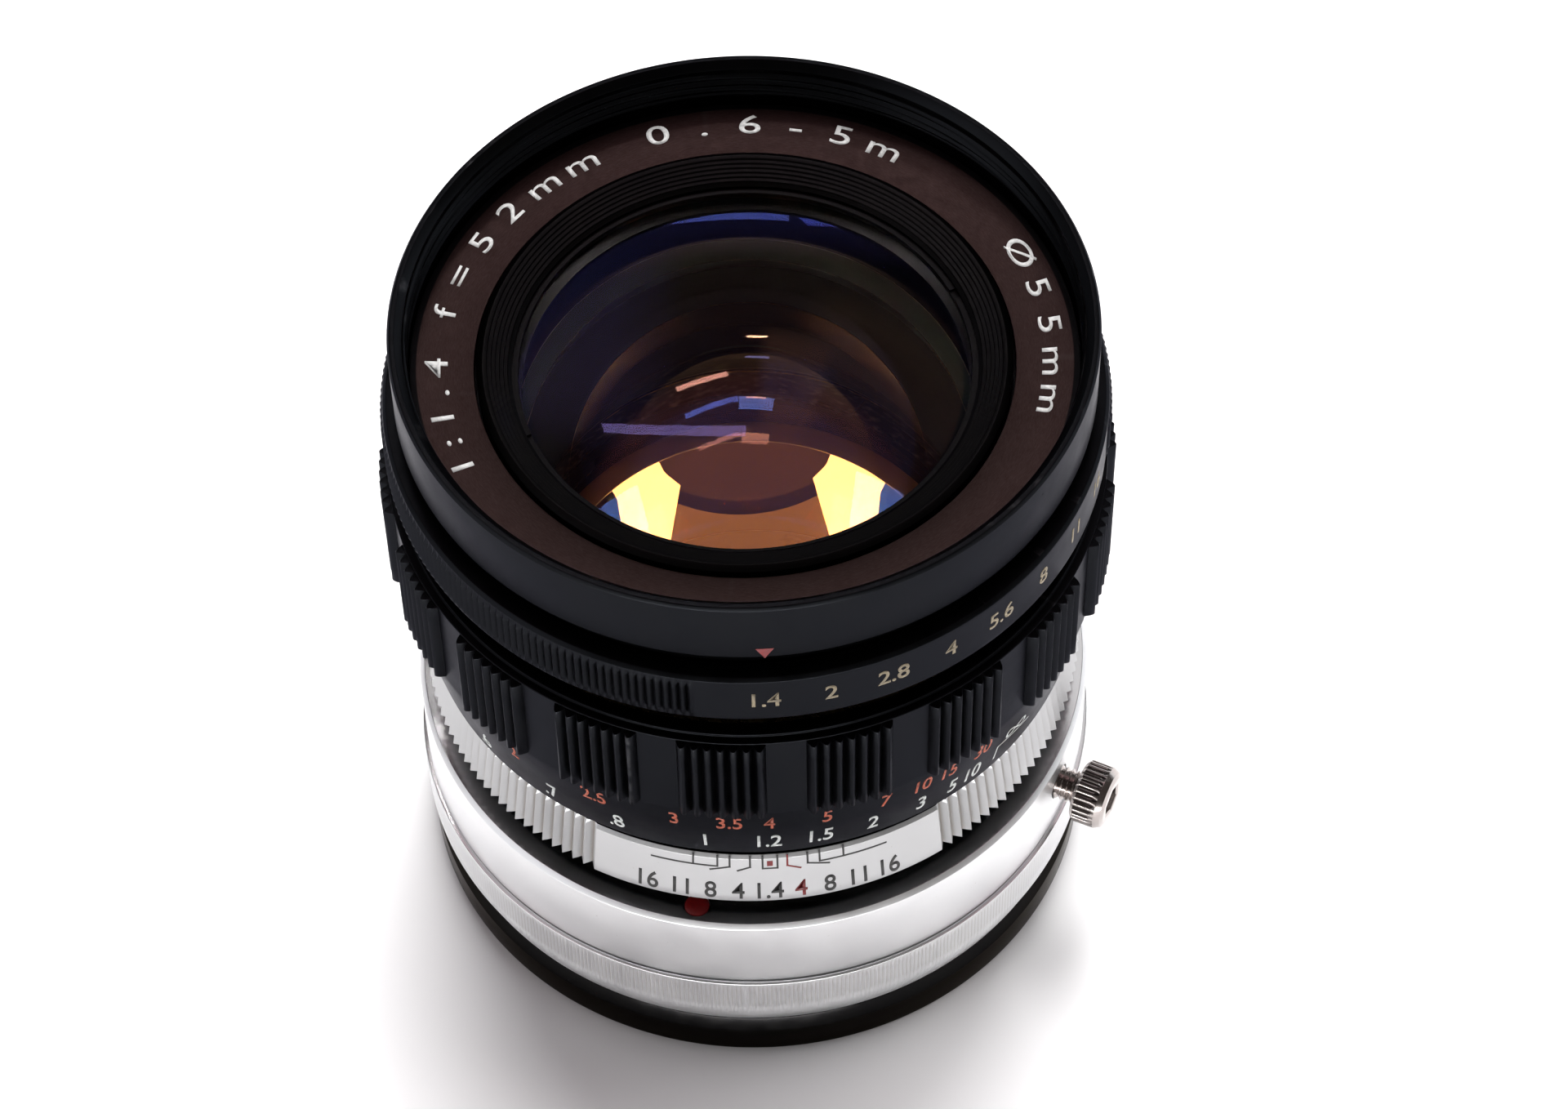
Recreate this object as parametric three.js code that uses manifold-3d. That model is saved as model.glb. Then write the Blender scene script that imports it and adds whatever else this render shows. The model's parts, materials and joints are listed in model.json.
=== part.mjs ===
// A 52 mm f/1.4 prime lens of the 1960s for a single-lens reflex camera, standing on its rear
// in a short mount adapter. Millimetres. +Z is the optical axis and points at the subject.
// Z = 0 is the flat rear face of the adapter. The index line of the lens faces -Y.
// It is focused at 1.2 m and set to f/1.4.
import * as THREE from "three";
import { mergeVertices } from "three/addons/utils/BufferGeometryUtils.js";
import Module from "manifold-3d";

const wasm = await Module();
wasm.setup();

// ---- Driving dimensions ----
const OUTER_SIDES = 36; // facets round each turned piece that shows
const INNER_SIDES = 24; // facets round the glass and the pieces inside
const CLEARANCE = 0.3; // between two pieces that touch or slide

const RIM_Z = 65; // front rim
const BARREL_R = 28.6; // front barrel
const FILTER_THREAD_R = 27.4;
const NAME_RING_R = 27.1;
const BARREL_FOOT_Z = 58.4; // lower edge of the front barrel's wide part
const NECK_R = 27.6; // what the aperture ring turns on
const NECK_FOOT_Z = 51;

const APERTURE_RING = { outer: 29.6, inner: 27.85, bottom: 51.4, top: 56.9 };
const APERTURE_TURN = THREE.MathUtils.degToRad(-70); // from f/1.4 to f/16, ten degrees a stop

const FOCUS_RING = { base: 29.8, inner: 27.9, bottom: 30.1, top: 48.45, foot: 28.2 };
const GRIP = { groups: 18, ribs: 7, pitch: THREE.MathUtils.degToRad(1.97), crest: 30.6, valley: 30.05 };
const GRIP_BOTTOM_Z = 38.55;
const GRIP_FIRST_ANGLE = THREE.MathUtils.degToRad(-97.2); // middle of the group beside the index

const FIXED_BARREL_R = 26;
const SCALE_RING = { bottom: 23, top: 28.5, foot: 28.5, head: 27.7, chamfer: 0.3 };
const ADAPTER = { top: 20, radius: 29.3, step: 11.5, socket: 23.7, throat: 22.5, seat: 28 };
const KNURLED_RING = { radius: 29.65, bottom: 4.5, top: 11.3 };
const FLANGE = { radius: 29.3, side: 2.9, top: 4.2, throat: 23.2, claw: 21.6 };

const OPTICS_BARREL = { foot: 26.2, top: 57.4, bore: 23, lower: 24.2, upper: 24.9, rearBore: 21.3 };
const HELICOID = { optics: 25.9, bottom: 38.2, top: 46.5 };

const IRIS = { blades: 6, open: 14.6, pivotRadius: 20.9, arm: 5, blade: 0.14, level: 0.28 };
const IRIS_FLOOR_Z = 39;
const BLADE_TURN = THREE.MathUtils.degToRad(37.6); // closes the opening from 14.6 mm to 1.2 mm
const PIN_R = 0.45;

const SCREW = { angle: THREE.MathUtils.degToRad(-27.4), z: 16.3, shank: 1.5, head: 2.8 };
const SCREW_HEAD_START = 31.2; // distance from the optical axis
const SCREW_HEAD_END = 34.2;

// ---- Materials ----
function material(color, roughness, metalness) {
  return new THREE.MeshStandardMaterial({ color, roughness, metalness });
}
const blackAnodised = material(0x1b1b1d, 0.45, 0.6);
const mattBlack = material(0x0c0c0d, 0.85, 0.1);
const brownBlack = material(0x241c1b, 0.5, 0.5);
const satinChrome = material(0xd0d2d4, 0.32, 1);
const brightSteel = material(0xc2beb8, 0.25, 1);
const brass = material(0xb08d4a, 0.4, 1);
const bladeSteel = material(0x34363a, 0.45, 0.8);
const coatedGlass = material(0x5a4468, 0.05, 0);
const redPaint = material(0xa31218, 0.5, 0);

// ---- Shape helpers ----

// A point at a radius and an angle in the plane across the optical axis.
function polar(radius, angle) {
  return new THREE.Vector2(radius * Math.cos(angle), radius * Math.sin(angle));
}

// Turns a closed profile of [radius, z] points, listed anticlockwise, about Z.
function turned(profile, sides = OUTER_SIDES) {
  const points = profile.map(([radius, z]) => new THREE.Vector2(radius, z));
  const startsOnAxis = profile[0][0] === 0;
  if (!startsOnAxis) points.push(points[0].clone());
  return new THREE.LatheGeometry(points, sides).rotateX(Math.PI / 2);
}

// Plain ring with a rectangular section.
function plainRing(inner, outer, bottom, top, sides = OUTER_SIDES) {
  return turned([[inner, bottom], [outer, bottom], [outer, top], [inner, top]], sides);
}

// Flat piece of the given outline, from bottom to top.
function plate(outline, bottom, top, holes = []) {
  const shape = new THREE.Shape(outline);
  shape.holes = holes.map((hole) => new THREE.Path(hole));
  const depth = top - bottom;
  return new THREE.ExtrudeGeometry(shape, { depth, bevelEnabled: false }).translate(0, 0, bottom);
}

// Points on a circle about a centre.
function circle(radius, sides, centre = new THREE.Vector2()) {
  return Array.from({ length: sides }, (_, i) =>
    polar(radius, (i / sides) * 2 * Math.PI).add(centre),
  );
}

// Points along an arc about the optical axis.
function arc(radius, from, to, steps) {
  return Array.from({ length: steps + 1 }, (_, i) =>
    polar(radius, from + ((to - from) * i) / steps),
  );
}

// Sector of a ring between two radii and two angles.
function sector(inner, outer, from, to, bottom, top) {
  const steps = Math.max(3, Math.ceil(Math.abs(to - from) / 0.2));
  const outline = [...arc(outer, from, to, steps), ...arc(inner, to, from, steps)];
  return plate(outline, bottom, top);
}

// Round bar along X from one distance to the other, turned to an angle about Z.
function radialBar(radius, start, end, angle, z, sides = 16) {
  const bar = new THREE.CylinderGeometry(radius, radius, end - start, sides);
  bar.rotateZ(-Math.PI / 2);
  bar.translate((start + end) / 2, 0, z);
  return bar.rotateZ(angle);
}

// Solid of revolution about X, from [distance, radius] points, turned to an angle about Z.
function radialTurned(profile, angle, z, sides) {
  const points = profile.map(([distance, radius]) => new THREE.Vector2(radius, distance));
  const body = new THREE.LatheGeometry(points, sides);
  return body.rotateZ(-Math.PI / 2).translate(0, 0, z).rotateZ(angle);
}

// Upright pin or hole.
function uprightBar(radius, centre, bottom, top, sides = 10) {
  return plate(circle(radius, sides, centre), bottom, top);
}

function toSolid(geometry) {
  const bare = geometry.clone();
  bare.deleteAttribute("normal");
  bare.deleteAttribute("uv");
  const merged = mergeVertices(bare, 1e-4);
  const vertProperties = merged.getAttribute("position").array;
  const triVerts = new Uint32Array(merged.index.array);
  return new wasm.Manifold(new wasm.Mesh({ numProp: 3, vertProperties, triVerts }));
}

function toGeometry(solid) {
  const mesh = solid.getMesh();
  const geometry = new THREE.BufferGeometry();
  geometry.setAttribute("position", new THREE.BufferAttribute(mesh.vertProperties, 3));
  geometry.setIndex(new THREE.BufferAttribute(mesh.triVerts, 1));
  const faceted = geometry.toNonIndexed();
  faceted.computeVertexNormals();
  return faceted;
}

function cut(geometry, tools) {
  return toGeometry(tools.reduce((left, tool) => left.subtract(toSolid(tool)), toSolid(geometry)));
}

function join(geometries) {
  return toGeometry(geometries.map(toSolid).reduce((sum, next) => sum.add(next)));
}

const lens = new THREE.Group();

// Adds a named piece to a group of the assembly.
function add(group, name, geometry, finish) {
  const mesh = new THREE.Mesh(geometry, finish);
  mesh.name = name;
  group.add(mesh);
}

// ---- Adapter: black rear flange, knurled ring, chrome body, index dot ----
const adapter = new THREE.Group();

const FLANGE_SCREWS = 4;
const FLANGE_SCREW_CIRCLE_R = 26;
const FLANGE_SCREW = { head: 1.1, headTop: 1.1, shank: 0.7, tip: 5.6, recess: 1.4 };

function flangeScrewPlaces() {
  return Array.from({ length: FLANGE_SCREWS }, (_, i) =>
    polar(FLANGE_SCREW_CIRCLE_R, ((i + 0.5) / FLANGE_SCREWS) * 2 * Math.PI),
  );
}

function rearFlange() {
  const { radius, side, top, throat, claw } = FLANGE;
  const bevelled = radius - 0.6;
  const body = turned([[throat, 0], [radius, 0], [radius, side], [bevelled, top], [throat, top]]);
  const claws = [0, 1, 2].map((i) => {
    const from = (i * 2 * Math.PI) / 3;
    return sector(claw, throat + 0.5, from, from + 0.9, 1.5, 3);
  });
  const holes = flangeScrewPlaces().flatMap((place) => [
    uprightBar(FLANGE_SCREW.head + CLEARANCE, place, -1, FLANGE_SCREW.recess),
    uprightBar(FLANGE_SCREW.shank + CLEARANCE, place, -1, top + 1),
  ]);
  return cut(join([body, ...claws]), holes);
}

function flangeScrew(place) {
  const { head, headTop, shank, tip } = FLANGE_SCREW;
  const profile = [[0, CLEARANCE], [head, CLEARANCE], [head, headTop], [shank, headTop], [shank, tip], [0, tip]];
  return turned(profile, 10).translate(place.x, place.y, 0);
}

function adapterBody() {
  const { top, radius, step, socket, throat, seat } = ADAPTER;
  const floor = 12.6;
  const bottom = KNURLED_RING.bottom;
  const profile = [
    [throat, bottom], [seat, bottom], [seat, step], [radius, step], [radius, top - 0.4],
    [radius - 0.4, top], [socket, top], [socket, floor], [throat, floor],
  ];
  const holes = flangeScrewPlaces().map((place) =>
    uprightBar(FLANGE_SCREW.shank + CLEARANCE, place, 0, FLANGE_SCREW.tip + CLEARANCE),
  );
  const screwHole = radialBar(SCREW.shank + CLEARANCE, socket - 2, radius + 2, SCREW.angle, SCREW.z);
  const dotRecess = uprightBar(INDEX_DOT.radius + CLEARANCE, indexDotPlace(), top - 1, top + 1);
  return cut(turned(profile), [...holes, screwHole, dotRecess]);
}

const INDEX_DOT = { radius: 1.05, circle: 27.4, angle: THREE.MathUtils.degToRad(-103.1) };

function indexDotPlace() {
  return polar(INDEX_DOT.circle, INDEX_DOT.angle);
}

function indexDot() {
  const place = indexDotPlace();
  const { radius } = INDEX_DOT;
  const low = ADAPTER.top - 0.7;
  const profile = [[0, low], [radius, low], [radius, ADAPTER.top], [radius * 0.6, ADAPTER.top + 0.12],
    [0, ADAPTER.top + 0.16]];
  return turned(profile, 16).translate(place.x, place.y, 0);
}

function knurledRing() {
  const { radius, bottom, top } = KNURLED_RING;
  const inner = ADAPTER.seat + 0.2;
  const profile = [[inner, bottom], [28.9, bottom], [radius, 6.7], [radius, top], [inner, top]];
  return turned(profile);
}

add(adapter, "rear_flange", rearFlange(), mattBlack);
flangeScrewPlaces().forEach((place, i) =>
  add(adapter, `flange_screw_${i + 1}`, flangeScrew(place), brightSteel),
);
add(adapter, "adapter_body", adapterBody(), satinChrome);
add(adapter, "adapter_knurled_ring", knurledRing(), satinChrome);
add(adapter, "mount_index_dot", indexDot(), redPaint);
lens.add(adapter);

// ---- Lock screw: socket-head screw and the brass pad that it presses into the lens mount ----
const lock = new THREE.Group();

function lockScrew() {
  const { angle, z, shank, head } = SCREW;
  const tip = 24.8;
  const bevel = 0.3;
  const socketDepth = 1.6;
  const socketRadius = 1.45;
  const profile = [
    [tip, 0], [tip, shank - bevel], [tip + bevel, shank], [SCREW_HEAD_START, shank],
    [SCREW_HEAD_START, head - bevel], [SCREW_HEAD_START + bevel, head],
    [SCREW_HEAD_END - bevel, head], [SCREW_HEAD_END, head - bevel], [SCREW_HEAD_END, 0],
  ];
  const body = radialTurned(profile, angle, z, 24);
  const socket = radialBar(socketRadius, SCREW_HEAD_END - socketDepth, SCREW_HEAD_END + 1, angle, z, 6);
  return cut(body, [socket]);
}

function lockPad() {
  const profile = [[22.9, 0], [22.9, 0.5], [23.6, 1.2], [24.5, 1.2], [24.5, 0]];
  return radialTurned(profile, SCREW.angle, SCREW.z, 12);
}

add(lock, "lock_screw", lockScrew(), brightSteel);
add(lock, "lock_pad", lockPad(), brass);
lens.add(lock);

// ---- Fixed part of the lens: mount, barrel, depth-of-field ring, keys ----
const fixed = new THREE.Group();

function lensMount() {
  const bore = OPTICS_BARREL.rearBore;
  const spigot = ADAPTER.socket - CLEARANCE;
  const grooveHalf = 1.4;
  const grooveDepth = 0.8;
  const profile = [
    [bore, 13], [spigot, 13], [spigot, SCREW.z - grooveHalf],
    [spigot - grooveDepth, SCREW.z - grooveHalf + grooveDepth],
    [spigot - grooveDepth, SCREW.z + grooveHalf - grooveDepth],
    [spigot, SCREW.z + grooveHalf], [spigot, 20.2], [25.9, 20.2], [25.9, 23.4], [bore, 23.4],
  ];
  return turned(profile);
}

function depthOfFieldRing() {
  const { bottom, top, foot, head, chamfer } = SCALE_RING;
  const inner = FIXED_BARREL_R + 0.2;
  return turned([
    [inner, bottom], [foot, bottom], [head, top - chamfer], [head - chamfer, top], [inner, top],
  ]);
}

// Key that stops the optics barrel turning, inside the fixed barrel.
function guideKey(angle) {
  const key = new THREE.BoxGeometry(1.3, 3, 5);
  return key.translate(23.65, 0, 30.5).rotateZ(angle);
}

add(fixed, "lens_mount", lensMount(), satinChrome);
add(fixed, "fixed_barrel", plainRing(24.5, FIXED_BARREL_R, 23.6, 34.2), blackAnodised);
add(fixed, "depth_of_field_ring", depthOfFieldRing(), satinChrome);
add(fixed, "focus_retaining_ring", plainRing(25, 27.4, 34.5, 35.5, INNER_SIDES), brass);
add(fixed, "guide_key_right", guideKey(0), brass);
add(fixed, "guide_key_left", guideKey(Math.PI), brass);
lens.add(fixed);

// ---- Focus ring: ribbed grip with a distance-scale skirt, and its brass helicoid ----
const focus = new THREE.Group();

// Outline of the grip: groups of ribs with plain gaps that lie below the ring's surface.
function gripOutline() {
  const { groups, ribs, pitch, crest, valley } = GRIP;
  const hidden = FOCUS_RING.base - 0.3;
  const points = [];
  for (let group = 0; group < groups; group++) {
    const middle = GRIP_FIRST_ANGLE + (group / groups) * 2 * Math.PI;
    const start = middle - (ribs * pitch) / 2;
    points.push(polar(hidden, start));
    for (let rib = 0; rib < ribs; rib++) {
      points.push(polar(crest, start + (rib + 0.5) * pitch));
      if (rib < ribs - 1) points.push(polar(valley, start + (rib + 1) * pitch));
    }
    points.push(polar(hidden, start + ribs * pitch));
  }
  return points;
}

function focusRing() {
  const { base, inner, bottom, top, foot } = FOCUS_RING;
  const lip = 29.1;
  const lipTop = top + 0.25;
  const bearing = FIXED_BARREL_R + CLEARANCE;
  const ledge = 34.2;
  const profile = [
    [bearing, bottom], [foot, bottom], [base, GRIP_BOTTOM_Z - 0.4], [base, top], [lip, top],
    [lip, lipTop], [inner, lipTop], [inner, ledge], [bearing, ledge],
  ];
  const grip = plate(gripOutline(), GRIP_BOTTOM_Z, top - 0.15, [circle(28.6, OUTER_SIDES)]);
  return join([turned(profile), grip]);
}

add(focus, "focus_ring", focusRing(), blackAnodised);
add(focus, "focus_helicoid", plainRing(26.2, 27.6, 36, 48, OUTER_SIDES), brass);
lens.add(focus);

// ---- Optics barrel: slides along Z without turning ----
const optics = new THREE.Group();

const DRIVE_PIN = { angle: THREE.MathUtils.degToRad(125), z: 54.2, radius: 0.7 };

// Window that the aperture drive pin swings in.
function driveWindow() {
  const margin = 0.09;
  const from = DRIVE_PIN.angle + APERTURE_TURN - margin;
  return sector(22, 28.2, from, DRIVE_PIN.angle + margin, DRIVE_PIN.z - 1.1, DRIVE_PIN.z + 1.1);
}

function keyway(angle) {
  const slot = new THREE.BoxGeometry(3, 3.7, 13);
  return slot.translate(24.2, 0, 30).rotateZ(angle);
}

function opticsBarrel() {
  const { foot, top, bore, lower, upper, rearBore } = OPTICS_BARREL;
  const ledge = IRIS_FLOOR_Z - CLEARANCE;
  const profile = [
    [rearBore, foot], [lower, foot], [lower, HELICOID.bottom], [HELICOID.optics, HELICOID.bottom],
    [HELICOID.optics, HELICOID.top], [upper, HELICOID.top], [upper, top], [bore, top],
    [bore, ledge], [rearBore, ledge],
  ];
  return cut(turned(profile), [keyway(0), keyway(Math.PI), driveWindow()]);
}

const CLICK = { angle: 0, z: 54.6, ball: 0.9, centre: 26.95 };

function frontBarrel() {
  const floor = NAME_RING_FOOT_Z - 0.25;
  const bore = OPTICS_BARREL.upper + 0.2;
  const groove = NECK_R - 0.35;
  const profile = [
    [bore, NECK_FOOT_Z], [NECK_R, NECK_FOOT_Z], [NECK_R, SNAP_Z - 0.4], [groove, SNAP_Z - 0.4],
    [groove, SNAP_Z + 0.4], [NECK_R, SNAP_Z + 0.4], [NECK_R, BARREL_FOOT_Z - 0.4],
    [BARREL_R - 0.4, BARREL_FOOT_Z], [BARREL_R, BARREL_FOOT_Z + 0.3], [BARREL_R, RIM_Z - 0.3],
    [BARREL_R - 0.2, RIM_Z], [28, RIM_Z], [FILTER_THREAD_R, RIM_Z - 0.6],
    [FILTER_THREAD_R, floor], [bore, floor],
  ];
  const ballHole = radialBar(CLICK.ball + CLEARANCE, bore - 1, NECK_R + 0.2, CLICK.angle, CLICK.z);
  return cut(turned(profile), [driveWindow(), ballHole]);
}

const NAME_RING_FOOT_Z = 58.85;
const SNAP_Z = 51.9;

function nameRing() {
  const inner = 21.9;
  return turned([[inner, NAME_RING_FOOT_Z], [NAME_RING_R, NAME_RING_FOOT_Z], [NAME_RING_R, 60], [inner, 60.45]]);
}

// Stepped cone that keeps stray light off the front element.
function baffleRing() {
  return turned([
    [20.8, 58.75], [21.7, 58.75], [21.7, 60.4], [21.2, 60.7], [18.9, 59.35], [18.9, 59.2], [20.8, 59.2],
  ]);
}

// Red triangle let into the front barrel, pointing down at the aperture figures.
function apertureIndex() {
  const front = BARREL_R + 0.05;
  const size = 0.9;
  const middle = BARREL_FOOT_Z + 1;
  const outline = [
    new THREE.Vector2(0, -size), new THREE.Vector2(size, size * 0.7), new THREE.Vector2(-size, size * 0.7),
  ];
  const triangle = plate(outline, 0, 0.35);
  return triangle.rotateX(Math.PI / 2).translate(0, -front + 0.35, middle);
}

function frontBarrelWithRecess() {
  const recess = new THREE.BoxGeometry(2.6, 1.4, 2.4).translate(0, -BARREL_R, BARREL_FOOT_Z + 1);
  return cut(frontBarrel(), [recess]);
}

// Ball and coil spring of the aperture click stops.
function clickBall() {
  return new THREE.SphereGeometry(CLICK.ball, 10, 6).translate(CLICK.centre, 0, CLICK.z);
}

class SpringCurve extends THREE.Curve {
  getPoint(t) {
    const turns = 2.5;
    const angle = t * turns * 2 * Math.PI;
    const coil = 0.55;
    const start = 25.32;
    const length = 0.5;
    return new THREE.Vector3(start + length * t, coil * Math.cos(angle), CLICK.z + coil * Math.sin(angle));
  }
}

function clickSpring() {
  const wire = new THREE.Shape(circle(0.09, 6));
  return new THREE.ExtrudeGeometry(wire, { steps: 24, bevelEnabled: false, extrudePath: new SpringCurve() });
}

add(optics, "optics_barrel", opticsBarrel(), blackAnodised);
add(optics, "front_barrel", frontBarrelWithRecess(), blackAnodised);
add(optics, "aperture_index", apertureIndex(), redPaint);
add(optics, "name_ring", nameRing(), brownBlack);
add(optics, "front_baffle_ring", baffleRing(), mattBlack);
add(optics, "aperture_snap_ring", plainRing(27.4, 28.15, SNAP_Z - 0.2, SNAP_Z + 0.2), brightSteel);
add(optics, "click_ball", clickBall(), brightSteel);
add(optics, "click_spring", clickSpring(), brightSteel);

// ---- Glass and its cells ----
// Height that a spherical surface falls by between its vertex and a radius.
function sag(curvature, radius) {
  return Math.sign(curvature) * (Math.abs(curvature) - Math.sqrt(curvature ** 2 - radius ** 2));
}

// Points on a spherical surface; a positive radius of curvature bulges towards +Z.
function surface(vertex, curvature, from, to, steps = 3) {
  return Array.from({ length: steps + 1 }, (_, i) => {
    const radius = from + ((to - from) * i) / steps;
    return [radius, vertex - sag(curvature, radius)];
  });
}

// A lens element: rear surface out to its rim, the ground edge, and the front surface back in.
function element({ front, frontCurve, rear, rearCurve, radius, rearClear = radius, frontClear = radius }) {
  const back = surface(rear, rearCurve, 0, rearClear);
  const face = surface(front, frontCurve, frontClear, 0);
  const backRim = back[back.length - 1][1];
  const faceRim = face[0][1];
  const edge = [];
  if (rearClear < radius) edge.push([radius, backRim]);
  if (frontClear < radius) edge.push([radius, faceRim]);
  return turned([...back, ...edge, ...face], INNER_SIDES);
}

const FRONT_ELEMENT = { front: 61.9, frontCurve: 46, rear: 57.3, rearCurve: 120, radius: 19.8 };
const SECOND_GROUP = {
  front: 56.7, frontCurve: 24, rear: 50, rearCurve: 16.5, radius: 17.3, rearClear: 13.3,
};
const THIRD_GROUP = {
  front: 32.2, frontCurve: -17.5, rear: 25.7, rearCurve: -32, radius: 14.7, frontClear: 13,
};
const FOURTH_ELEMENT = { front: 25.2, frontCurve: -150, rear: 19.8, rearCurve: -38, radius: 16.9 };
const REAR_ELEMENT = { front: 19.4, frontCurve: 60, rear: 15.4, rearCurve: -200, radius: 16.9 };

function frontCell() {
  const bottom = 42.7;
  const flange = 57.6;
  return turned([
    [13.8, bottom], [20.9, bottom], [20.9, flange], [24.8, flange], [24.8, 58.4], [20.05, 58.4],
    [20.05, 55.4], [17.6, 55.4], [17.6, 43.1], [13.8, 43.1],
  ], INNER_SIDES);
}

function rearCell() {
  const top = 38.4;
  const bottom = 14.2;
  return turned([
    [17.2, bottom], [20.9, bottom], [20.9, top], [15, top], [15, 26.6], [17.2, 26.6],
  ], INNER_SIDES);
}

add(optics, "front_element", element(FRONT_ELEMENT), coatedGlass);
add(optics, "second_group", element(SECOND_GROUP), coatedGlass);
add(optics, "third_group", element(THIRD_GROUP), coatedGlass);
add(optics, "fourth_element", element(FOURTH_ELEMENT), coatedGlass);
add(optics, "rear_element", element(REAR_ELEMENT), coatedGlass);
add(optics, "front_cell", frontCell(), mattBlack);
add(optics, "front_retaining_ring", plainRing(18.4, 20.6, 58.45, 59.05), mattBlack);
add(optics, "rear_cell", rearCell(), mattBlack);
add(optics, "rear_retaining_ring", plainRing(15.6, 17, 14.3, 15, INNER_SIDES), mattBlack);

// ---- Iris: floor plate, spacer, blades and the cam ring that drives them ----
const BLADE_STACK_Z = IRIS_FLOOR_Z + 0.75;
const CAM_RING = { bottom: 41.65, top: 42.3, inner: 15.4, outer: 22 };
const DRIVE_ANGLE = 2 * Math.asin(IRIS.arm / 2 / IRIS.pivotRadius); // drive pin, ahead of the pivot

function bladeAngle(index) {
  return (index / IRIS.blades) * 2 * Math.PI;
}

function irisFloor() {
  const holes = Array.from({ length: IRIS.blades }, (_, i) =>
    circle(PIN_R + 0.2, 8, polar(IRIS.pivotRadius, bladeAngle(i))),
  );
  const opening = circle(IRIS.open, INNER_SIDES);
  return plate(circle(22.7, INNER_SIDES), IRIS_FLOOR_Z, IRIS_FLOOR_Z + 0.5, [opening, ...holes]);
}

// One leaf, drawn at angle zero: a crescent with an ear that carries the two pins.
function bladeOutline() {
  const inner = IRIS.open + 0.15;
  const outer = 20.2;
  const tip = THREE.MathUtils.degToRad(104);
  const earRadius = 1.1;
  const pivot = polar(IRIS.pivotRadius, 0);
  const drive = polar(IRIS.pivotRadius, DRIVE_ANGLE);
  const driveEar = [1.2, 0.4, -0.2].map((turn) => polar(earRadius, DRIVE_ANGLE + turn).add(drive));
  const pivotEar = [0, -0.8, -1.6].map((turn) => polar(earRadius, turn).add(pivot));
  return [
    ...arc(inner, -0.03, tip, 12), ...arc(outer, tip, DRIVE_ANGLE + 0.09, 10), ...driveEar, ...pivotEar,
  ];
}

function irisBlade(index) {
  const bottom = BLADE_STACK_Z + index * IRIS.level;
  const top = bottom + IRIS.blade;
  const pivot = polar(IRIS.pivotRadius, 0);
  const drive = polar(IRIS.pivotRadius, DRIVE_ANGLE);
  const leaf = plate(bladeOutline(), bottom, top);
  const pivotPin = uprightBar(PIN_R, pivot, IRIS_FLOOR_Z + 0.1, top - 0.05, 8);
  const drivePin = uprightBar(PIN_R, drive, bottom + 0.05, CAM_RING.top - 0.1, 8);
  return join([leaf, pivotPin, drivePin]).rotateZ(bladeAngle(index));
}

// Where a drive pin is in the cam ring's own frame when the ring has turned part of its way.
function slotPoint(fraction) {
  const pivot = polar(IRIS.pivotRadius, 0);
  const arm = polar(IRIS.pivotRadius, DRIVE_ANGLE).sub(pivot);
  const pin = arm.rotateAround(new THREE.Vector2(), fraction * BLADE_TURN).add(pivot);
  return pin.rotateAround(new THREE.Vector2(), -fraction * APERTURE_TURN);
}

// Cam slot that follows the drive pin, with rounded-off ends.
function slotOutline(index) {
  const half = PIN_R + 0.25;
  const steps = 10;
  const sides = { left: [], right: [] };
  for (let i = 0; i <= steps; i++) {
    const fraction = -0.015 + (1.03 * i) / steps;
    const here = slotPoint(fraction);
    const along = slotPoint(fraction + 0.001).sub(here).normalize();
    const across = new THREE.Vector2(-along.y, along.x).multiplyScalar(half);
    const reach = i === 0 ? -half : i === steps ? half : 0;
    const centre = here.addScaledVector(along, reach);
    const narrow = i === 0 || i === steps ? 0.5 : 1;
    sides.left.push(centre.clone().addScaledVector(across, narrow));
    sides.right.unshift(centre.clone().addScaledVector(across, -narrow));
  }
  return [...sides.left, ...sides.right].map((point) =>
    point.rotateAround(new THREE.Vector2(), bladeAngle(index)),
  );
}

function irisCamRing() {
  const slots = Array.from({ length: IRIS.blades }, (_, i) => slotOutline(i));
  const opening = circle(CAM_RING.inner, INNER_SIDES);
  const outline = circle(CAM_RING.outer, INNER_SIDES);
  return plate(outline, CAM_RING.bottom, CAM_RING.top, [opening, ...slots]);
}

add(optics, "iris_floor", irisFloor(), mattBlack);
add(optics, "iris_spacer", plainRing(22.4, 22.75, 39.8, 42.5), mattBlack);
for (let i = 0; i < IRIS.blades; i++) add(optics, `iris_blade_${i + 1}`, irisBlade(i), bladeSteel);
lens.add(optics);

// ---- Aperture ring with its drive: pin, arm and the iris cam ring ----
const aperture = new THREE.Group();

function apertureRing() {
  const { outer, inner, bottom, top } = APERTURE_RING;
  const bevel = 0.3;
  const snapGroove = inner + 0.55;
  const ballGroove = inner + 0.3;
  return turned([
    [inner, bottom], [outer - bevel, bottom], [outer, bottom + bevel], [outer, top - bevel],
    [outer - bevel, top], [inner, top], [inner, CLICK.z + 1.1], [ballGroove, CLICK.z + 0.9],
    [ballGroove, CLICK.z - 0.9], [inner, CLICK.z - 1.1], [inner, SNAP_Z + 0.4],
    [snapGroove, SNAP_Z + 0.4], [snapGroove, SNAP_Z - 0.4], [inner, SNAP_Z - 0.4],
  ]);
}

function drivePin() {
  return radialBar(DRIVE_PIN.radius, 22.5, APERTURE_RING.inner - 0.15, DRIVE_PIN.angle, DRIVE_PIN.z, 12);
}

// Upright arm from the cam ring to a fork round the drive pin.
function driveArm() {
  const bottom = CAM_RING.top + CLEARANCE;
  const arm = new THREE.BoxGeometry(0.9, 4.4, 55.6 - bottom);
  arm.translate(21.75, 0, (55.6 + bottom) / 2);
  return arm.rotateZ(DRIVE_PIN.angle);
}

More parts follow.
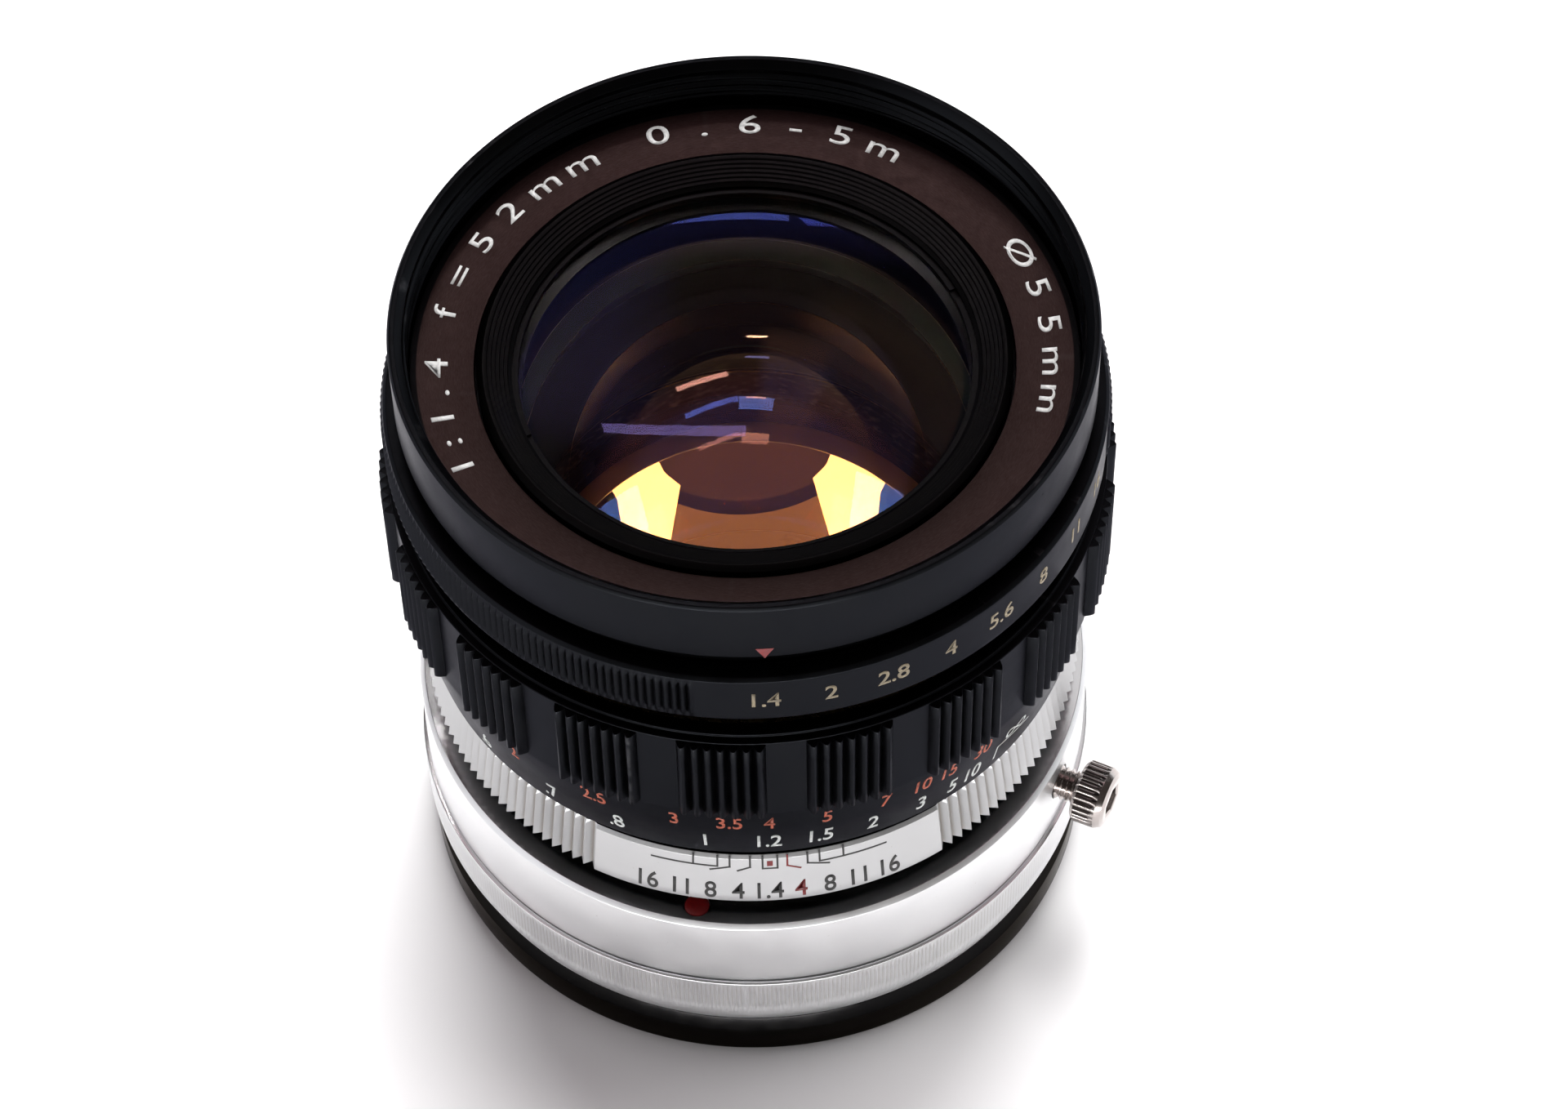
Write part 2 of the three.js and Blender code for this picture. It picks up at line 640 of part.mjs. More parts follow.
add(aperture, "aperture_ring", apertureRing(), blackAnodised);
add(aperture, "aperture_drive_pin", drivePin(), brightSteel);
add(aperture, "iris_drive_arm", driveArm(), brass);
add(aperture, "iris_cam_ring", irisCamRing(), brass);
lens.add(aperture);

export default lens;
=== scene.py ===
"""The looks of a 52 mm f/1.4 prime lens of the 1960s that stands on its rear in a mount adapter.

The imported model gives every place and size. Lengths are in metres; sizes of small details are
written in millimetres times MM. Angles on the lens are measured from its index line, which faces
-Y, and grow towards +X, as its scales do.
"""
import json
import math

import bmesh
import bpy
import numpy as np
from mathutils import Matrix, Vector


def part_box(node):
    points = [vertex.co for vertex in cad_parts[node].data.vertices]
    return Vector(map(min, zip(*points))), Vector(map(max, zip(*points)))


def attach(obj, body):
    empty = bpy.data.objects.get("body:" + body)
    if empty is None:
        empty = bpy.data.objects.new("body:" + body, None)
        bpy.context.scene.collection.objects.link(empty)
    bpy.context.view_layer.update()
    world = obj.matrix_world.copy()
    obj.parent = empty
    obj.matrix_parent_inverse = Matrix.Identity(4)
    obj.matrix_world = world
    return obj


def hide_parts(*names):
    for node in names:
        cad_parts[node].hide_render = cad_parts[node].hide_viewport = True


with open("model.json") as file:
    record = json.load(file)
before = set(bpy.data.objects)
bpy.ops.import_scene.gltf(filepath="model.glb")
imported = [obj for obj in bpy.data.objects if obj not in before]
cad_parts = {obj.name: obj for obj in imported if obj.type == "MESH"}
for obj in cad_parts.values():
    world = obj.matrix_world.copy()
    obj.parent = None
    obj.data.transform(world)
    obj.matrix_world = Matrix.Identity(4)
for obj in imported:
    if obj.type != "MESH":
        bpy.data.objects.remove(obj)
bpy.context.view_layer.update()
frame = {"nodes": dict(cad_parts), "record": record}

MM = 0.001
FULL_TURN = 2 * math.pi
INDEX = math.radians(-90)
ROUND = 256  # steps round a plain turned piece
CORNER = 0.12 * MM  # usual corner radius of a machined edge
PAINT = 0.02 * MM  # how far painted figures stand out

record = frame["record"]
BODY_OF = {
    node: body for body, nodes in record["behaviour"]["bodies"].items() for node in nodes
}


def low(node):
    """Height of the node's lowest point."""
    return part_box(node)[0].z


def high(node):
    """Height of the node's highest point."""
    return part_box(node)[1].z


def reach(node):
    """Outer radius of a turned node."""
    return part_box(node)[1].x


def middle_of(node):
    """Centre of a node's box."""
    lowest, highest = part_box(node)
    return (lowest + highest) / 2


# ---------------------------------------------------------------- outlines


def section(node, azimuth=30.05):
    """Outline of a turned node where a half plane through the axis cuts it, anticlockwise."""
    mesh = frame["nodes"][node].data
    turn = math.radians(azimuth)
    along = Vector((math.cos(turn), math.sin(turn), 0))
    across = Vector((-math.sin(turn), math.cos(turn), 0))
    mesh.calc_loop_triangles()
    pieces = []
    for triangle in mesh.loop_triangles:
        corners = [mesh.vertices[i].co for i in triangle.vertices]
        crossings = []
        for a, b in zip(corners, corners[1:] + corners[:1]):
            side_a, side_b = a.dot(across), b.dot(across)
            if (side_a < 0) != (side_b < 0):
                point = a.lerp(b, side_a / (side_a - side_b))
                crossings.append((point.dot(along), point.z))
        if len(crossings) == 2 and min(c[0] for c in crossings) > 0:
            pieces.append(crossings)
    return anticlockwise(without_straight_points(chained(pieces)))


def chained(pieces):
    """Joins short lines end to end into one closed loop."""
    pieces = [np.array(piece) for piece in pieces if math.dist(*piece) > 1e-7]
    loop = [*pieces.pop(0)]
    while pieces:
        gaps = [
            (np.linalg.norm(piece[end] - loop[-1]), index, end)
            for index, piece in enumerate(pieces)
            for end in (0, 1)
        ]
        _, index, end = min(gaps)
        loop.append(pieces.pop(index)[1 - end])
    return np.array(loop[:-1])


def without_straight_points(loop, straight=0.02):
    """Leaves out the points where the loop doesn't turn."""
    before = loop - np.roll(loop, 1, axis=0)
    after = np.roll(loop, -1, axis=0) - loop
    cross = before[:, 0] * after[:, 1] - before[:, 1] * after[:, 0]
    size = np.linalg.norm(before, axis=1) * np.linalg.norm(after, axis=1)
    return loop[np.abs(cross) > straight * size]


def anticlockwise(loop):
    """The closed outline, turned round if it runs clockwise."""
    r, z = loop.T
    area = np.sum(r * np.roll(z, -1) - np.roll(r, -1) * z)
    return loop if area > 0 else loop[::-1]


def rounded(loop, radius=CORNER, steps=3):
    """The closed outline with its sharp corners rounded off."""
    points = []
    for before, corner, after in zip(np.roll(loop, 1, 0), loop, np.roll(loop, -1, 0)):
        back, on = before - corner, after - corner
        back_length, on_length = np.linalg.norm(back), np.linalg.norm(on)
        cosine = np.clip(back @ on / (back_length * on_length), -1, 1)
        turn = math.pi - math.acos(cosine)
        if turn < math.radians(20):
            points.append(corner)
            continue
        cut = min(radius * math.tan(turn / 2), 0.45 * back_length, 0.45 * on_length)
        start, end = corner + back / back_length * cut, corner + on / on_length * cut
        for t in np.linspace(0, 1, steps + 1):
            points.append((1 - t) ** 2 * start + 2 * t * (1 - t) * corner + t**2 * end)
    return np.array(points)


def divided(loop, longest, where, closed=True):
    """The outline with the long stretches that where picks cut into shorter ones."""
    points = []
    ends = np.roll(loop, -1, 0) if closed else loop[1:]
    for start, end in zip(loop, ends):
        middle = (start + end) / 2
        count = math.ceil(math.dist(start, end) / longest) if where(*middle) else 1
        points += [start + (end - start) * k / count for k in range(count)]
    return np.array(points if closed else [*points, loop[-1]])


def polar(radius, angle):
    """The point at a radius and an angle about the axis."""
    return Vector((radius * math.cos(angle), radius * math.sin(angle)))


def circle(radius, steps, centre=(0, 0)):
    """Points round a circle."""
    turns = even_angles(steps)
    return np.stack([centre[0] + radius * np.cos(turns), centre[1] + radius * np.sin(turns)], 1)


def arc(radius, start, end, steps):
    """Points on an arc about the axis."""
    turns = np.linspace(start, end, steps + 1)
    return np.stack([radius * np.cos(turns), radius * np.sin(turns)], 1)


def rectangle(near, far, half_width):
    """Corners of a rectangle that lies along the X axis."""
    return [(near, -half_width), (far, -half_width), (far, half_width), (near, half_width)]


# ---------------------------------------------------------------- meshes


def new_piece(name, vertices, faces, sharp=30):
    """An object from vertices and faces."""
    mesh = bpy.data.meshes.new(name)
    mesh.from_pydata(np.asarray(vertices).tolist(), [], np.asarray(faces).tolist())
    return linked(name, mesh, sharp)


def linked(name, mesh, sharp=30):
    """An object for the mesh, shaded smooth but for edges sharper than an angle."""
    mesh.validate()
    mesh.shade_smooth()
    mesh.set_sharp_from_angle(angle=math.radians(sharp))
    piece = bpy.data.objects.new(name, mesh)
    bpy.context.scene.collection.objects.link(piece)
    return piece


def even_angles(count):
    """Angles evenly round a full turn."""
    return np.arange(count) / count * FULL_TURN


def turned(name, outline, angles=None, shape=None, closed=True, sharp=30):
    """Turns an outline about the axis. shape(angle, r, z) may move the surface as it turns."""
    angles = even_angles(ROUND) if angles is None else angles
    r, z = np.asarray(outline, float).T
    angle = angles[:, None]
    r, z = r[None, :] + 0 * angle, z[None, :] + 0 * angle
    if shape:
        r, z = shape(angle, r, z)
    vertices = np.stack([r * np.cos(angle), r * np.sin(angle), z], axis=-1).reshape(-1, 3)
    rounds, rows = r.shape
    here, up = np.arange(rows), np.roll(np.arange(rows), -1)
    if not closed:
        here, up = here[:-1], up[:-1]
    i = np.arange(rounds)[:, None]
    j = (i + 1) % rounds
    corners = [i * rows + here, j * rows + here, j * rows + up, i * rows + up]
    faces = np.stack(corners, axis=-1).reshape(-1, 4)
    piece = new_piece(name, vertices, faces, sharp)
    if not closed:
        weld(piece.data)
        piece.data.set_sharp_from_angle(angle=math.radians(sharp))
    return piece


def weld(mesh):
    """Joins the vertices that lie in one place."""
    work = bmesh.new()
    work.from_mesh(mesh)
    bmesh.ops.remove_doubles(work, verts=work.verts, dist=1e-7)
    work.to_mesh(mesh)
    work.free()
    mesh.validate()


def plate(name, outline, bottom, top, holes=()):
    """Flat piece of the given outline between two heights."""
    work = bmesh.new()
    loops = [outline, *holes]
    for loop in loops:
        points = [work.verts.new((x, y, bottom)) for x, y in loop]
        for a, b in zip(points, points[1:] + points[:1]):
            work.edges.new((a, b))
    bmesh.ops.triangle_fill(work, edges=work.edges[:], use_beauty=True)
    raised = bmesh.ops.extrude_face_region(work, geom=work.faces[:])["geom"]
    moved = [v for v in raised if isinstance(v, bmesh.types.BMVert)]
    bmesh.ops.translate(work, verts=moved, vec=(0, 0, top - bottom))
    bmesh.ops.recalc_face_normals(work, faces=work.faces)
    mesh = bpy.data.meshes.new(name)
    work.to_mesh(mesh)
    work.free()
    return linked(name, mesh)


def joined(name, parts):
    """One piece from several, which are used up."""
    work = bmesh.new()
    for part in parts:
        work.from_mesh(part.data)
        bpy.data.objects.remove(part)
    mesh = bpy.data.meshes.new(name)
    work.to_mesh(mesh)
    work.free()
    return linked(name, mesh)


def cut(piece, cutters):
    """Takes the cutters' shapes out of the piece."""
    for cutter in cutters:
        modifier = piece.modifiers.new("cut", "BOOLEAN")
        modifier.object = cutter
        modifier.operation = "DIFFERENCE"
        modifier.solver = "EXACT"
    view = bpy.context.evaluated_depsgraph_get()
    mesh = bpy.data.meshes.new_from_object(piece.evaluated_get(view))
    name = piece.name
    bpy.data.objects.remove(piece)
    for cutter in cutters:
        bpy.data.objects.remove(cutter)
    return linked(name, mesh)


def laid_out(piece, matrix):
    """Moves the piece's mesh, so that its object stays at the origin."""
    piece.data.transform(matrix)
    return piece


def trim(piece, body, finish):
    """Gives the piece its finish and lets it move with a body."""
    piece.data.materials.clear()
    piece.data.materials.append(finish)
    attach(piece, body)
    return piece


def stand_in(piece, node, finish):
    """Gives the piece its finish and lets it stand for a CAD node, moving with its body."""
    trim(piece, BODY_OF[node], finish)
    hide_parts(node)


# ---------------------------------------------------------------- figures and lines


def flat_figures(text, height, stretch=1.0, weight=0.0):
    """Figures as a flat mesh with its middle at the origin: x along the line, y up, z out."""
    capital = 0.73  # height of a figure as a share of the font's size
    curve = bpy.data.curves.new("figures", "FONT")
    curve.body = text
    curve.size = height / capital
    curve.align_x = "CENTER"
    curve.extrude = PAINT
    curve.offset = weight
    curve.resolution_u = 6
    holder = bpy.data.objects.new("figures", curve)
    bpy.context.scene.collection.objects.link(holder)
    view = bpy.context.evaluated_depsgraph_get()
    mesh = bpy.data.meshes.new_from_object(holder.evaluated_get(view))
    bpy.data.objects.remove(holder)
    points = np.array([v.co for v in mesh.vertices])
    faces = [list(p.vertices) for p in mesh.polygons]
    points[:, 0] -= (points[:, 0].min() + points[:, 0].max()) / 2
    points[:, 0] *= stretch
    points[:, 1] -= height / 2
    return points, faces


def flat_line(path, width):
    """A line through points, as flat bars: x along the scale, y up, z out."""
    points, faces = [], []
    box_faces = [(0, 1, 3, 2), (4, 6, 7, 5), (0, 2, 6, 4), (1, 5, 7, 3), (0, 4, 5, 1), (2, 3, 7, 6)]
    for start, end in zip(path, path[1:]):
        start, end = np.array(start, float), np.array(end, float)
        length = np.linalg.norm(end - start)
        ahead = (end - start) / length * width / 2
        aside = np.array([-ahead[1], ahead[0]])
        steps = max(1, round(length / (1 * MM)))
        for k in range(steps):
            a = start + (end - start) * k / steps - (ahead if k == 0 else 0)
            b = start + (end - start) * (k + 1) / steps + (ahead if k == steps - 1 else 0)
            first = len(points)
            for end_point in (a, b):
                for side in (-aside, aside):
                    for lift in (-PAINT, PAINT):
                        points.append((*(end_point + side), lift))
            faces += [[first + i for i in face] for face in box_faces]
    return np.array(points), faces


def on_wall(flat, angle, middle, radius_at):
    """Bends a flat mark onto a turned wall. radius_at gives the wall's radius at a height."""
    points, faces = flat
    z = middle + points[:, 1]
    wall = radius_at(z)
    turn = INDEX + math.radians(angle) + points[:, 0] / radius_at(middle)
    r = wall + points[:, 2]
    return np.stack([r * np.cos(turn), r * np.sin(turn), z], 1), faces


def on_face(flat, angle, radius, height_at):
    """Lays a flat mark on a ring's front, its top outwards, read clockwise from the front."""
    points, faces = flat
    r = radius + points[:, 1]
    turn = INDEX + math.radians(angle) - points[:, 0] / radius
    z = height_at(r) + points[:, 2]
    return np.stack([r * np.cos(turn), r * np.sin(turn), z], 1), faces


def figures_on_wall(angles, height, stretch, weight, z, radius_at):
    """Figures round a turned wall, from a table of texts and their angles."""
    return [
        on_wall(flat_figures(text, height, stretch, weight), angle, z, radius_at)
        for text, angle in angles.items()
    ]


def upright(radius):
    """The radius of a straight wall at any height."""
    return lambda z: radius + 0 * z


def marks(name, items, body, finish):
    """One piece from many laid marks."""
    vertices, faces = [], []
    for points, corners in items:
        first = len(vertices)
        vertices += points.tolist()
        faces += [[first + i for i in face] for face in corners]
    mesh = bpy.data.meshes.new(name)
    mesh.from_pydata(vertices, [], faces)
    piece = linked(name, mesh, sharp=40)
    weld(piece.data)
    return trim(piece, body, finish)


# ---------------------------------------------------------------- materials


class Nodes:
    """Short ways to add to a node tree."""

    def __init__(self, tree):
        self.tree = tree

    def add(self, kind, inputs=(), **settings):
        """A new node; its inputs are values or the outputs of other nodes."""
        node = self.tree.nodes.new(kind)
        for key, value in settings.items():
            setattr(node, key, value)
        for key, value in dict(inputs).items():
            self.set(node.inputs[key], value)
        return node

    def set(self, socket, value):
        if isinstance(value, bpy.types.NodeSocket):
            self.tree.links.new(value, socket)
        else:
            socket.default_value = value

    def math(self, operation, a, b=0.0, c=0.0):
        return self.add("ShaderNodeMath", {0: a, 1: b, 2: c}, operation=operation).outputs[0]

    def plus(self, a, b):
        return self.math("ADD", a, b)

    def times(self, a, b):
        return self.math("MULTIPLY", a, b)

    def apart(self, a, b):
        """How far two values are from each other."""
        return self.math("ABSOLUTE", self.math("SUBTRACT", a, b))

    def ramp(self, value, low_end, high_end, low_value=0.0, high_value=1.0):
        """Maps a value from one range to another, held at its ends."""
        inputs = {0: value, 1: low_end, 2: high_end, 3: low_value, 4: high_value}
        return self.add("ShaderNodeMapRange", inputs).outputs[0]

    def parts(self, vector):
        """The three parts of a vector."""
        return self.add("ShaderNodeSeparateXYZ", {0: vector}).outputs

    def blend(self, factor, first, second):
        """The first colour at 0 and the second at 1."""
        inputs = {"Factor": factor, "A": first, "B": second}
        node = self.add("ShaderNodeMix", data_type="RGBA")
        for key, value in inputs.items():
            socket = next(s for s in node.inputs if s.name == key and s.enabled)
            self.set(socket, value)
        return next(s for s in node.outputs if s.enabled)


class Finish(Nodes):
    """A material on the Principled shader, patterned by places on the piece itself."""

    def __init__(self, name):
        self.material = bpy.data.materials.new(name)
        self.material.use_nodes = True
        super().__init__(self.material.node_tree)
        self.shader = self.tree.nodes["Principled BSDF"]

    def place(self):
        return self.add("ShaderNodeTexCoord").outputs["Object"]

    def round_place(self, stretch):
        """Place as (radius, height, angle times stretch), for marks that a lathe leaves."""
        x, y, z = self.parts(self.place())
        flat = self.add("ShaderNodeCombineXYZ", {0: x, 1: y})
        radius = self.add("ShaderNodeVectorMath", {0: flat.outputs[0]}, operation="LENGTH")
        scaled = self.times(self.math("ABSOLUTE", self.math("ARCTAN2", y, x)), stretch)
        place = {0: radius.outputs["Value"], 1: z, 2: scaled}
        return self.add("ShaderNodeCombineXYZ", place).outputs[0]

    def noise(self, grain, place=None, detail=3.0, rough=0.55):
        """Noise whose blobs are about as large as grain, from 0 to 1."""
        inputs = {
            "Vector": place or self.place(),
            "Scale": 1 / grain,
            "Detail": detail,
            "Roughness": rough,
        }
        return self.add("ShaderNodeTexNoise", inputs).outputs["Fac"]

    def surface(self, what):
        """A fact about the surface, such as its Normal or its Pointiness."""
        return self.add("ShaderNodeNewGeometry").outputs[what]

    def edges(self, start, full):
        """Where the surface has an outer edge, from 0 to 1.

        Pointiness is wrong on fine meshes where x + y is greatest or least, so the edge fades there.
        """
        x, y, _ = self.parts(self.place())
        near, clear = 1.5 * MM, 2.5 * MM
        trusted = self.ramp(self.apart(x, y), near, clear)
        return self.times(self.ramp(self.surface("Pointiness"), start, full), trusted)

    def bump(self, height, distance, normal=None):
        """A surface direction for fine relief, on top of another relief if there is one."""
        inputs = {"Height": height, "Distance": distance}
        if normal is not None:
            inputs["Normal"] = normal
        return self.add("ShaderNodeBump", inputs).outputs[0]

    def finish(self, **inputs):
        """Sets the shader's inputs and gives the material."""
        for key, value in inputs.items():
            self.set(self.shader.inputs[key.replace("_", " ")], value)
        return self.material


def rgb(r, g, b):
    """An opaque colour."""
    return (r, g, b, 1.0)


def black_anodised():
    """Satin black on turned aluminium, grey on its edges from wear and a painted edge highlight."""
    n = Finish("black_anodised")
    lathe = n.noise(0.05 * MM, n.round_place(0.004), detail=2)
    grain = n.noise(0.06 * MM)
    cloud = n.noise(4 * MM)
    dust = n.ramp(n.noise(0.5 * MM, detail=5), 0.68, 0.8)
    base = n.blend(cloud, rgb(0.0082, 0.0088, 0.0105), rgb(0.0118, 0.0124, 0.0138))
    dusty = n.blend(n.times(dust, 0.10), base, rgb(0.08, 0.08, 0.08))
    # pale_edges: patchy grey on sharp edges, partly wear and partly a painted highlight along the
    # edges
    pale_edges = n.times(n.edges(0.56, 0.68), n.ramp(n.noise(1.2 * MM), 0.4, 0.65))
    colour = n.blend(n.times(pale_edges, 0.5), dusty, rgb(0.09, 0.09, 0.095))
    rough = n.plus(n.ramp(cloud, 0.3, 0.7, 0.30, 0.40), n.times(dust, 0.2))
    normal = n.bump(grain, 0.004 * MM, normal=n.bump(lathe, 0.003 * MM))
    return n.finish(Base_Color=colour, Roughness=rough, Normal=normal, Metallic=1.0,
                    Specular_Tint=rgb(0.55, 0.55, 0.57))


def gloss_black():
    """Polished black paint with a few chips and fine dust."""
    n = Finish("gloss_black")
    dust = n.ramp(n.noise(0.4 * MM, detail=5), 0.70, 0.8)
    base = n.blend(n.noise(3 * MM), rgb(0.0055, 0.0055, 0.0060), rgb(0.0085, 0.0080, 0.0078))
    colour = n.blend(n.times(dust, 0.12), base, rgb(0.10, 0.10, 0.10))
    pale_edges = n.times(n.edges(0.57, 0.68), n.ramp(n.noise(0.9 * MM), 0.5, 0.7))
    colour = n.blend(n.times(pale_edges, 0.4), colour, rgb(0.12, 0.11, 0.10))
    rough = n.plus(n.ramp(n.noise(1.5 * MM), 0.3, 0.7, 0.12, 0.2), n.times(dust, 0.3))
    return n.finish(Base_Color=colour, Roughness=rough, Normal=n.bump(n.noise(0.2 * MM), 0.002 * MM),
                    Metallic=1.0, Specular_Tint=rgb(0.6, 0.58, 0.56))


def matt_black():
    """Matt black paint with fine grain, as inside a lens."""
    n = Finish("matt_black")
    grain = n.noise(0.12 * MM, detail=4)
    lathe = n.noise(0.09 * MM, n.round_place(0.002), detail=2)
    colour = n.blend(n.noise(2 * MM), rgb(0.0085, 0.0085, 0.0095), rgb(0.0130, 0.0122, 0.0120))
    rough = n.ramp(grain, 0.3, 0.7, 0.33, 0.46)
    normal = n.bump(grain, 0.005 * MM, normal=n.bump(lathe, 0.006 * MM))
    return n.finish(Base_Color=colour, Roughness=rough, Normal=normal, Metallic=1.0,
                    Specular_Tint=rgb(0.5, 0.5, 0.52))


def name_ring_black():
    """Brown-black anodising with fine turning marks round the ring, a painted highlight on its edges
    and painted shade round its outer edge.
    """
    n = Finish("name_ring_black")
    lathe = n.noise(0.06 * MM, n.round_place(0.003), detail=3, rough=0.7)
    cloud = n.noise(3 * MM)
    base = n.blend(cloud, rgb(0.041, 0.025, 0.023), rgb(0.053, 0.034, 0.032))
    colour = n.blend(n.ramp(lathe, 0.4, 0.7), base, rgb(0.066, 0.045, 0.042))
    # pale_edges: lighter on every sharp edge, with no patches, a painted highlight along the edges
    pale_edges = n.times(n.edges(0.55, 0.65), 0.4)
    colour = n.blend(pale_edges, colour, rgb(0.10, 0.085, 0.08))
    radius, _, _ = n.parts(n.round_place(1))
    # gap_shade: near black beyond 26.5 mm, painted shade of the gap between the ring and the rim wall
    gap_shade = n.ramp(radius, 26.5 * MM, 26.6 * MM)
    colour = n.blend(gap_shade, colour, rgb(0.010, 0.010, 0.011))
    rough = n.ramp(n.noise(0.8 * MM), 0.3, 0.7, 0.44, 0.54)
    normal = n.bump(lathe, 0.004 * MM)
    return n.finish(Base_Color=colour, Roughness=rough, Normal=normal, Metallic=1.0,
                    Specular_Tint=rgb(0.6, 0.5, 0.5))


def satin_chrome(name, tone):
    """Chrome with satin sides and polished ledges: fine turning marks, faint blotches, dark pits, and
    painted brown shade in its hollows.
    """
    n = Finish(name)
    lathe = n.noise(0.05 * MM, n.round_place(0.006), detail=3, rough=0.65)
    grain = n.noise(0.05 * MM, detail=2)
    cloud = n.noise(4 * MM, detail=4)
    pits = n.ramp(n.noise(0.35 * MM, detail=6), 0.72, 0.78)
    # hollow_shade: browner where the surface is hollow, painted shade in grooves and serrations
    hollow_shade = n.ramp(n.surface("Pointiness"), 0.38, 0.49, 0.75, 0.0)
    dull = rgb(0.70 * tone, 0.705 * tone, 0.715 * tone)
    bright = rgb(0.77 * tone, 0.77 * tone, 0.775 * tone)
    pitted = n.blend(n.times(pits, 0.5), n.blend(cloud, dull, bright), rgb(0.28, 0.25, 0.2))
    colour = n.blend(hollow_shade, pitted, rgb(0.30, 0.25, 0.19))
    level = n.parts(n.surface("Normal"))[2]
    polish = n.ramp(level, 0.8, 0.95, 0.38, 0.12)
    uneven = n.plus(polish, n.ramp(cloud, 0.3, 0.7, 0.0, 0.06))
    rough = n.plus(uneven, n.times(pits, 0.2))
    normal = n.bump(grain, 0.0012 * MM, normal=n.bump(lathe, 0.0016 * MM))
    return n.finish(Base_Color=colour, Metallic=1.0, Roughness=rough, Normal=normal)


def bright_steel():
    """Nickel-plated steel with fine scratches and painted shade in its hollows."""
    n = Finish("bright_steel")
    scratch = n.noise(0.06 * MM, detail=5, rough=0.7)
    # hollow_shade: near black where the surface is hollow, painted shade in the knurl and thread
    hollow_shade = n.ramp(n.surface("Pointiness"), 0.36, 0.48, 0.92, 0.0)
    base = n.blend(n.noise(0.8 * MM), rgb(0.36, 0.325, 0.31), rgb(0.48, 0.44, 0.42))
    colour = n.blend(hollow_shade, base, rgb(0.05, 0.04, 0.036))
    rough = n.ramp(scratch, 0.35, 0.65, 0.10, 0.22)
    normal = n.bump(scratch, 0.002 * MM)
    return n.finish(Base_Color=colour, Metallic=1.0, Roughness=rough, Normal=normal)


def brass():
    """Turned brass with a light tarnish and a film of grease."""
    n = Finish("brass")
    lathe = n.noise(0.07 * MM, n.round_place(0.004), detail=3)
    tarnish = n.ramp(n.noise(1.5 * MM, detail=5), 0.45, 0.7)
    colour = n.blend(tarnish, rgb(0.72, 0.52, 0.25), rgb(0.42, 0.28, 0.12))
    rough = n.ramp(tarnish, 0.0, 1.0, 0.24, 0.45)
    normal = n.bump(lathe, 0.004 * MM)
    return n.finish(Base_Color=colour, Metallic=1.0, Roughness=rough, Normal=normal)


def blade_steel():
    """Blackened spring steel of the iris leaves, rubbed where they slide."""
    n = Finish("blade_steel")
    rubbed = n.ramp(n.noise(0.5 * MM, n.round_place(0.01), detail=4), 0.5, 0.75)
    colour = n.blend(rubbed, rgb(0.035, 0.037, 0.042), rgb(0.13, 0.135, 0.145))
    rough = n.ramp(rubbed, 0.0, 1.0, 0.5, 0.34)
    normal = n.bump(n.noise(0.08 * MM), 0.003 * MM)
    return n.finish(Base_Color=colour, Metallic=0.8, Roughness=rough, Normal=normal)


GLASS = {  # each face as (height of its vertex, radius of curvature), and coatings in nanometres
    "front_element": {"front": (61.9, 46), "rear": (57.3, 120), "ior": 1.70, "films": (95, 114)},
    "second_group": {"front": (56.7, 24), "rear": (50, 16.5), "ior": 1.66, "films": (118, 105),
                     "rear_clear": 13.3, "tint": (0.95, 0.62, 0.36)},
    "third_group": {"front": (32.2, -17.5), "rear": (25.7, -32), "ior": 1.66, "films": (70, 70),
                    "front_clear": 13, "film_ior": 2.3},
    "fourth_element": {"front": (25.2, -150), "rear": (19.8, -38), "ior": 1.62, "films": (84, 90)},
    "rear_element": {"front": (19.4, 60), "rear": (15.4, -200), "ior": 1.62, "films": (96, 100)},
}


def spherical(vertex, curvature, start, end, steps=28):
    """Points on a sphere from one radius to another; a positive curvature bulges forwards."""
    r = np.linspace(start, end, steps)
    sag = np.sign(curvature) * (abs(curvature) - np.sqrt(curvature**2 - r**2))
    return [(a * MM, b * MM) for a, b in zip(r, vertex - sag)]


def rear_face(node):
    """Outline of a lens element's rear face, from the axis outwards."""
    clear = GLASS[node].get("rear_clear", reach(node) / MM)
    return spherical(*GLASS[node]["rear"], 0, clear)


def coated_glass(node):
    """Optical glass with blackened edges, a thin coating on each face, and faint wiping marks.

    The rear film counts as thinner by the index of the glass, because light meets it from inside.
    """
    glass = GLASS[node]
    tint = glass.get("tint", (0.97, 0.965, 0.95))
    lighter = tuple(min(1.0, 1.02 * c) for c in tint)
    n = Finish(f"{node}_glass")
    radius, height, _ = n.parts(n.round_place(1))
    black = n.ramp(radius, reach(node) - 0.1 * MM, reach(node) - 0.05 * MM)
    for key, shelf, inwards in (("rear_clear", low(node), MM), ("front_clear", high(node), -MM)):
        if key in glass:
            ledge = n.ramp(height, shelf + 0.06 * inwards, shelf + 0.03 * inwards)
            black = n.math("MAXIMUM", black, ledge)
    dust = n.ramp(n.noise(0.7 * MM, detail=6, rough=0.7), 0.70, 0.80)
    wiped = n.ramp(n.noise(3 * MM, detail=4), 0.45, 0.75)
    rough = n.plus(n.times(wiped, 0.008), n.times(dust, 0.05))
    clear = n.blend(n.noise(6 * MM), rgb(*tint), rgb(*lighter))
    behind = max(z for _, z in rear_face(node))
    front_film, rear_film = glass["films"]
    film = n.ramp(height, behind, behind + 0.05 * MM, rear_film * glass["ior"], front_film)
    return n.finish(Base_Color=n.blend(black, clear, rgb(0.006, 0.006, 0.006)), IOR=glass["ior"],
                    Roughness=n.math("MAXIMUM", rough, n.times(black, 0.7)),
                    Transmission_Weight=n.math("SUBTRACT", 1.0, black),
                    Thin_Film_Thickness=film, Thin_Film_IOR=glass.get("film_ior", 1.38))


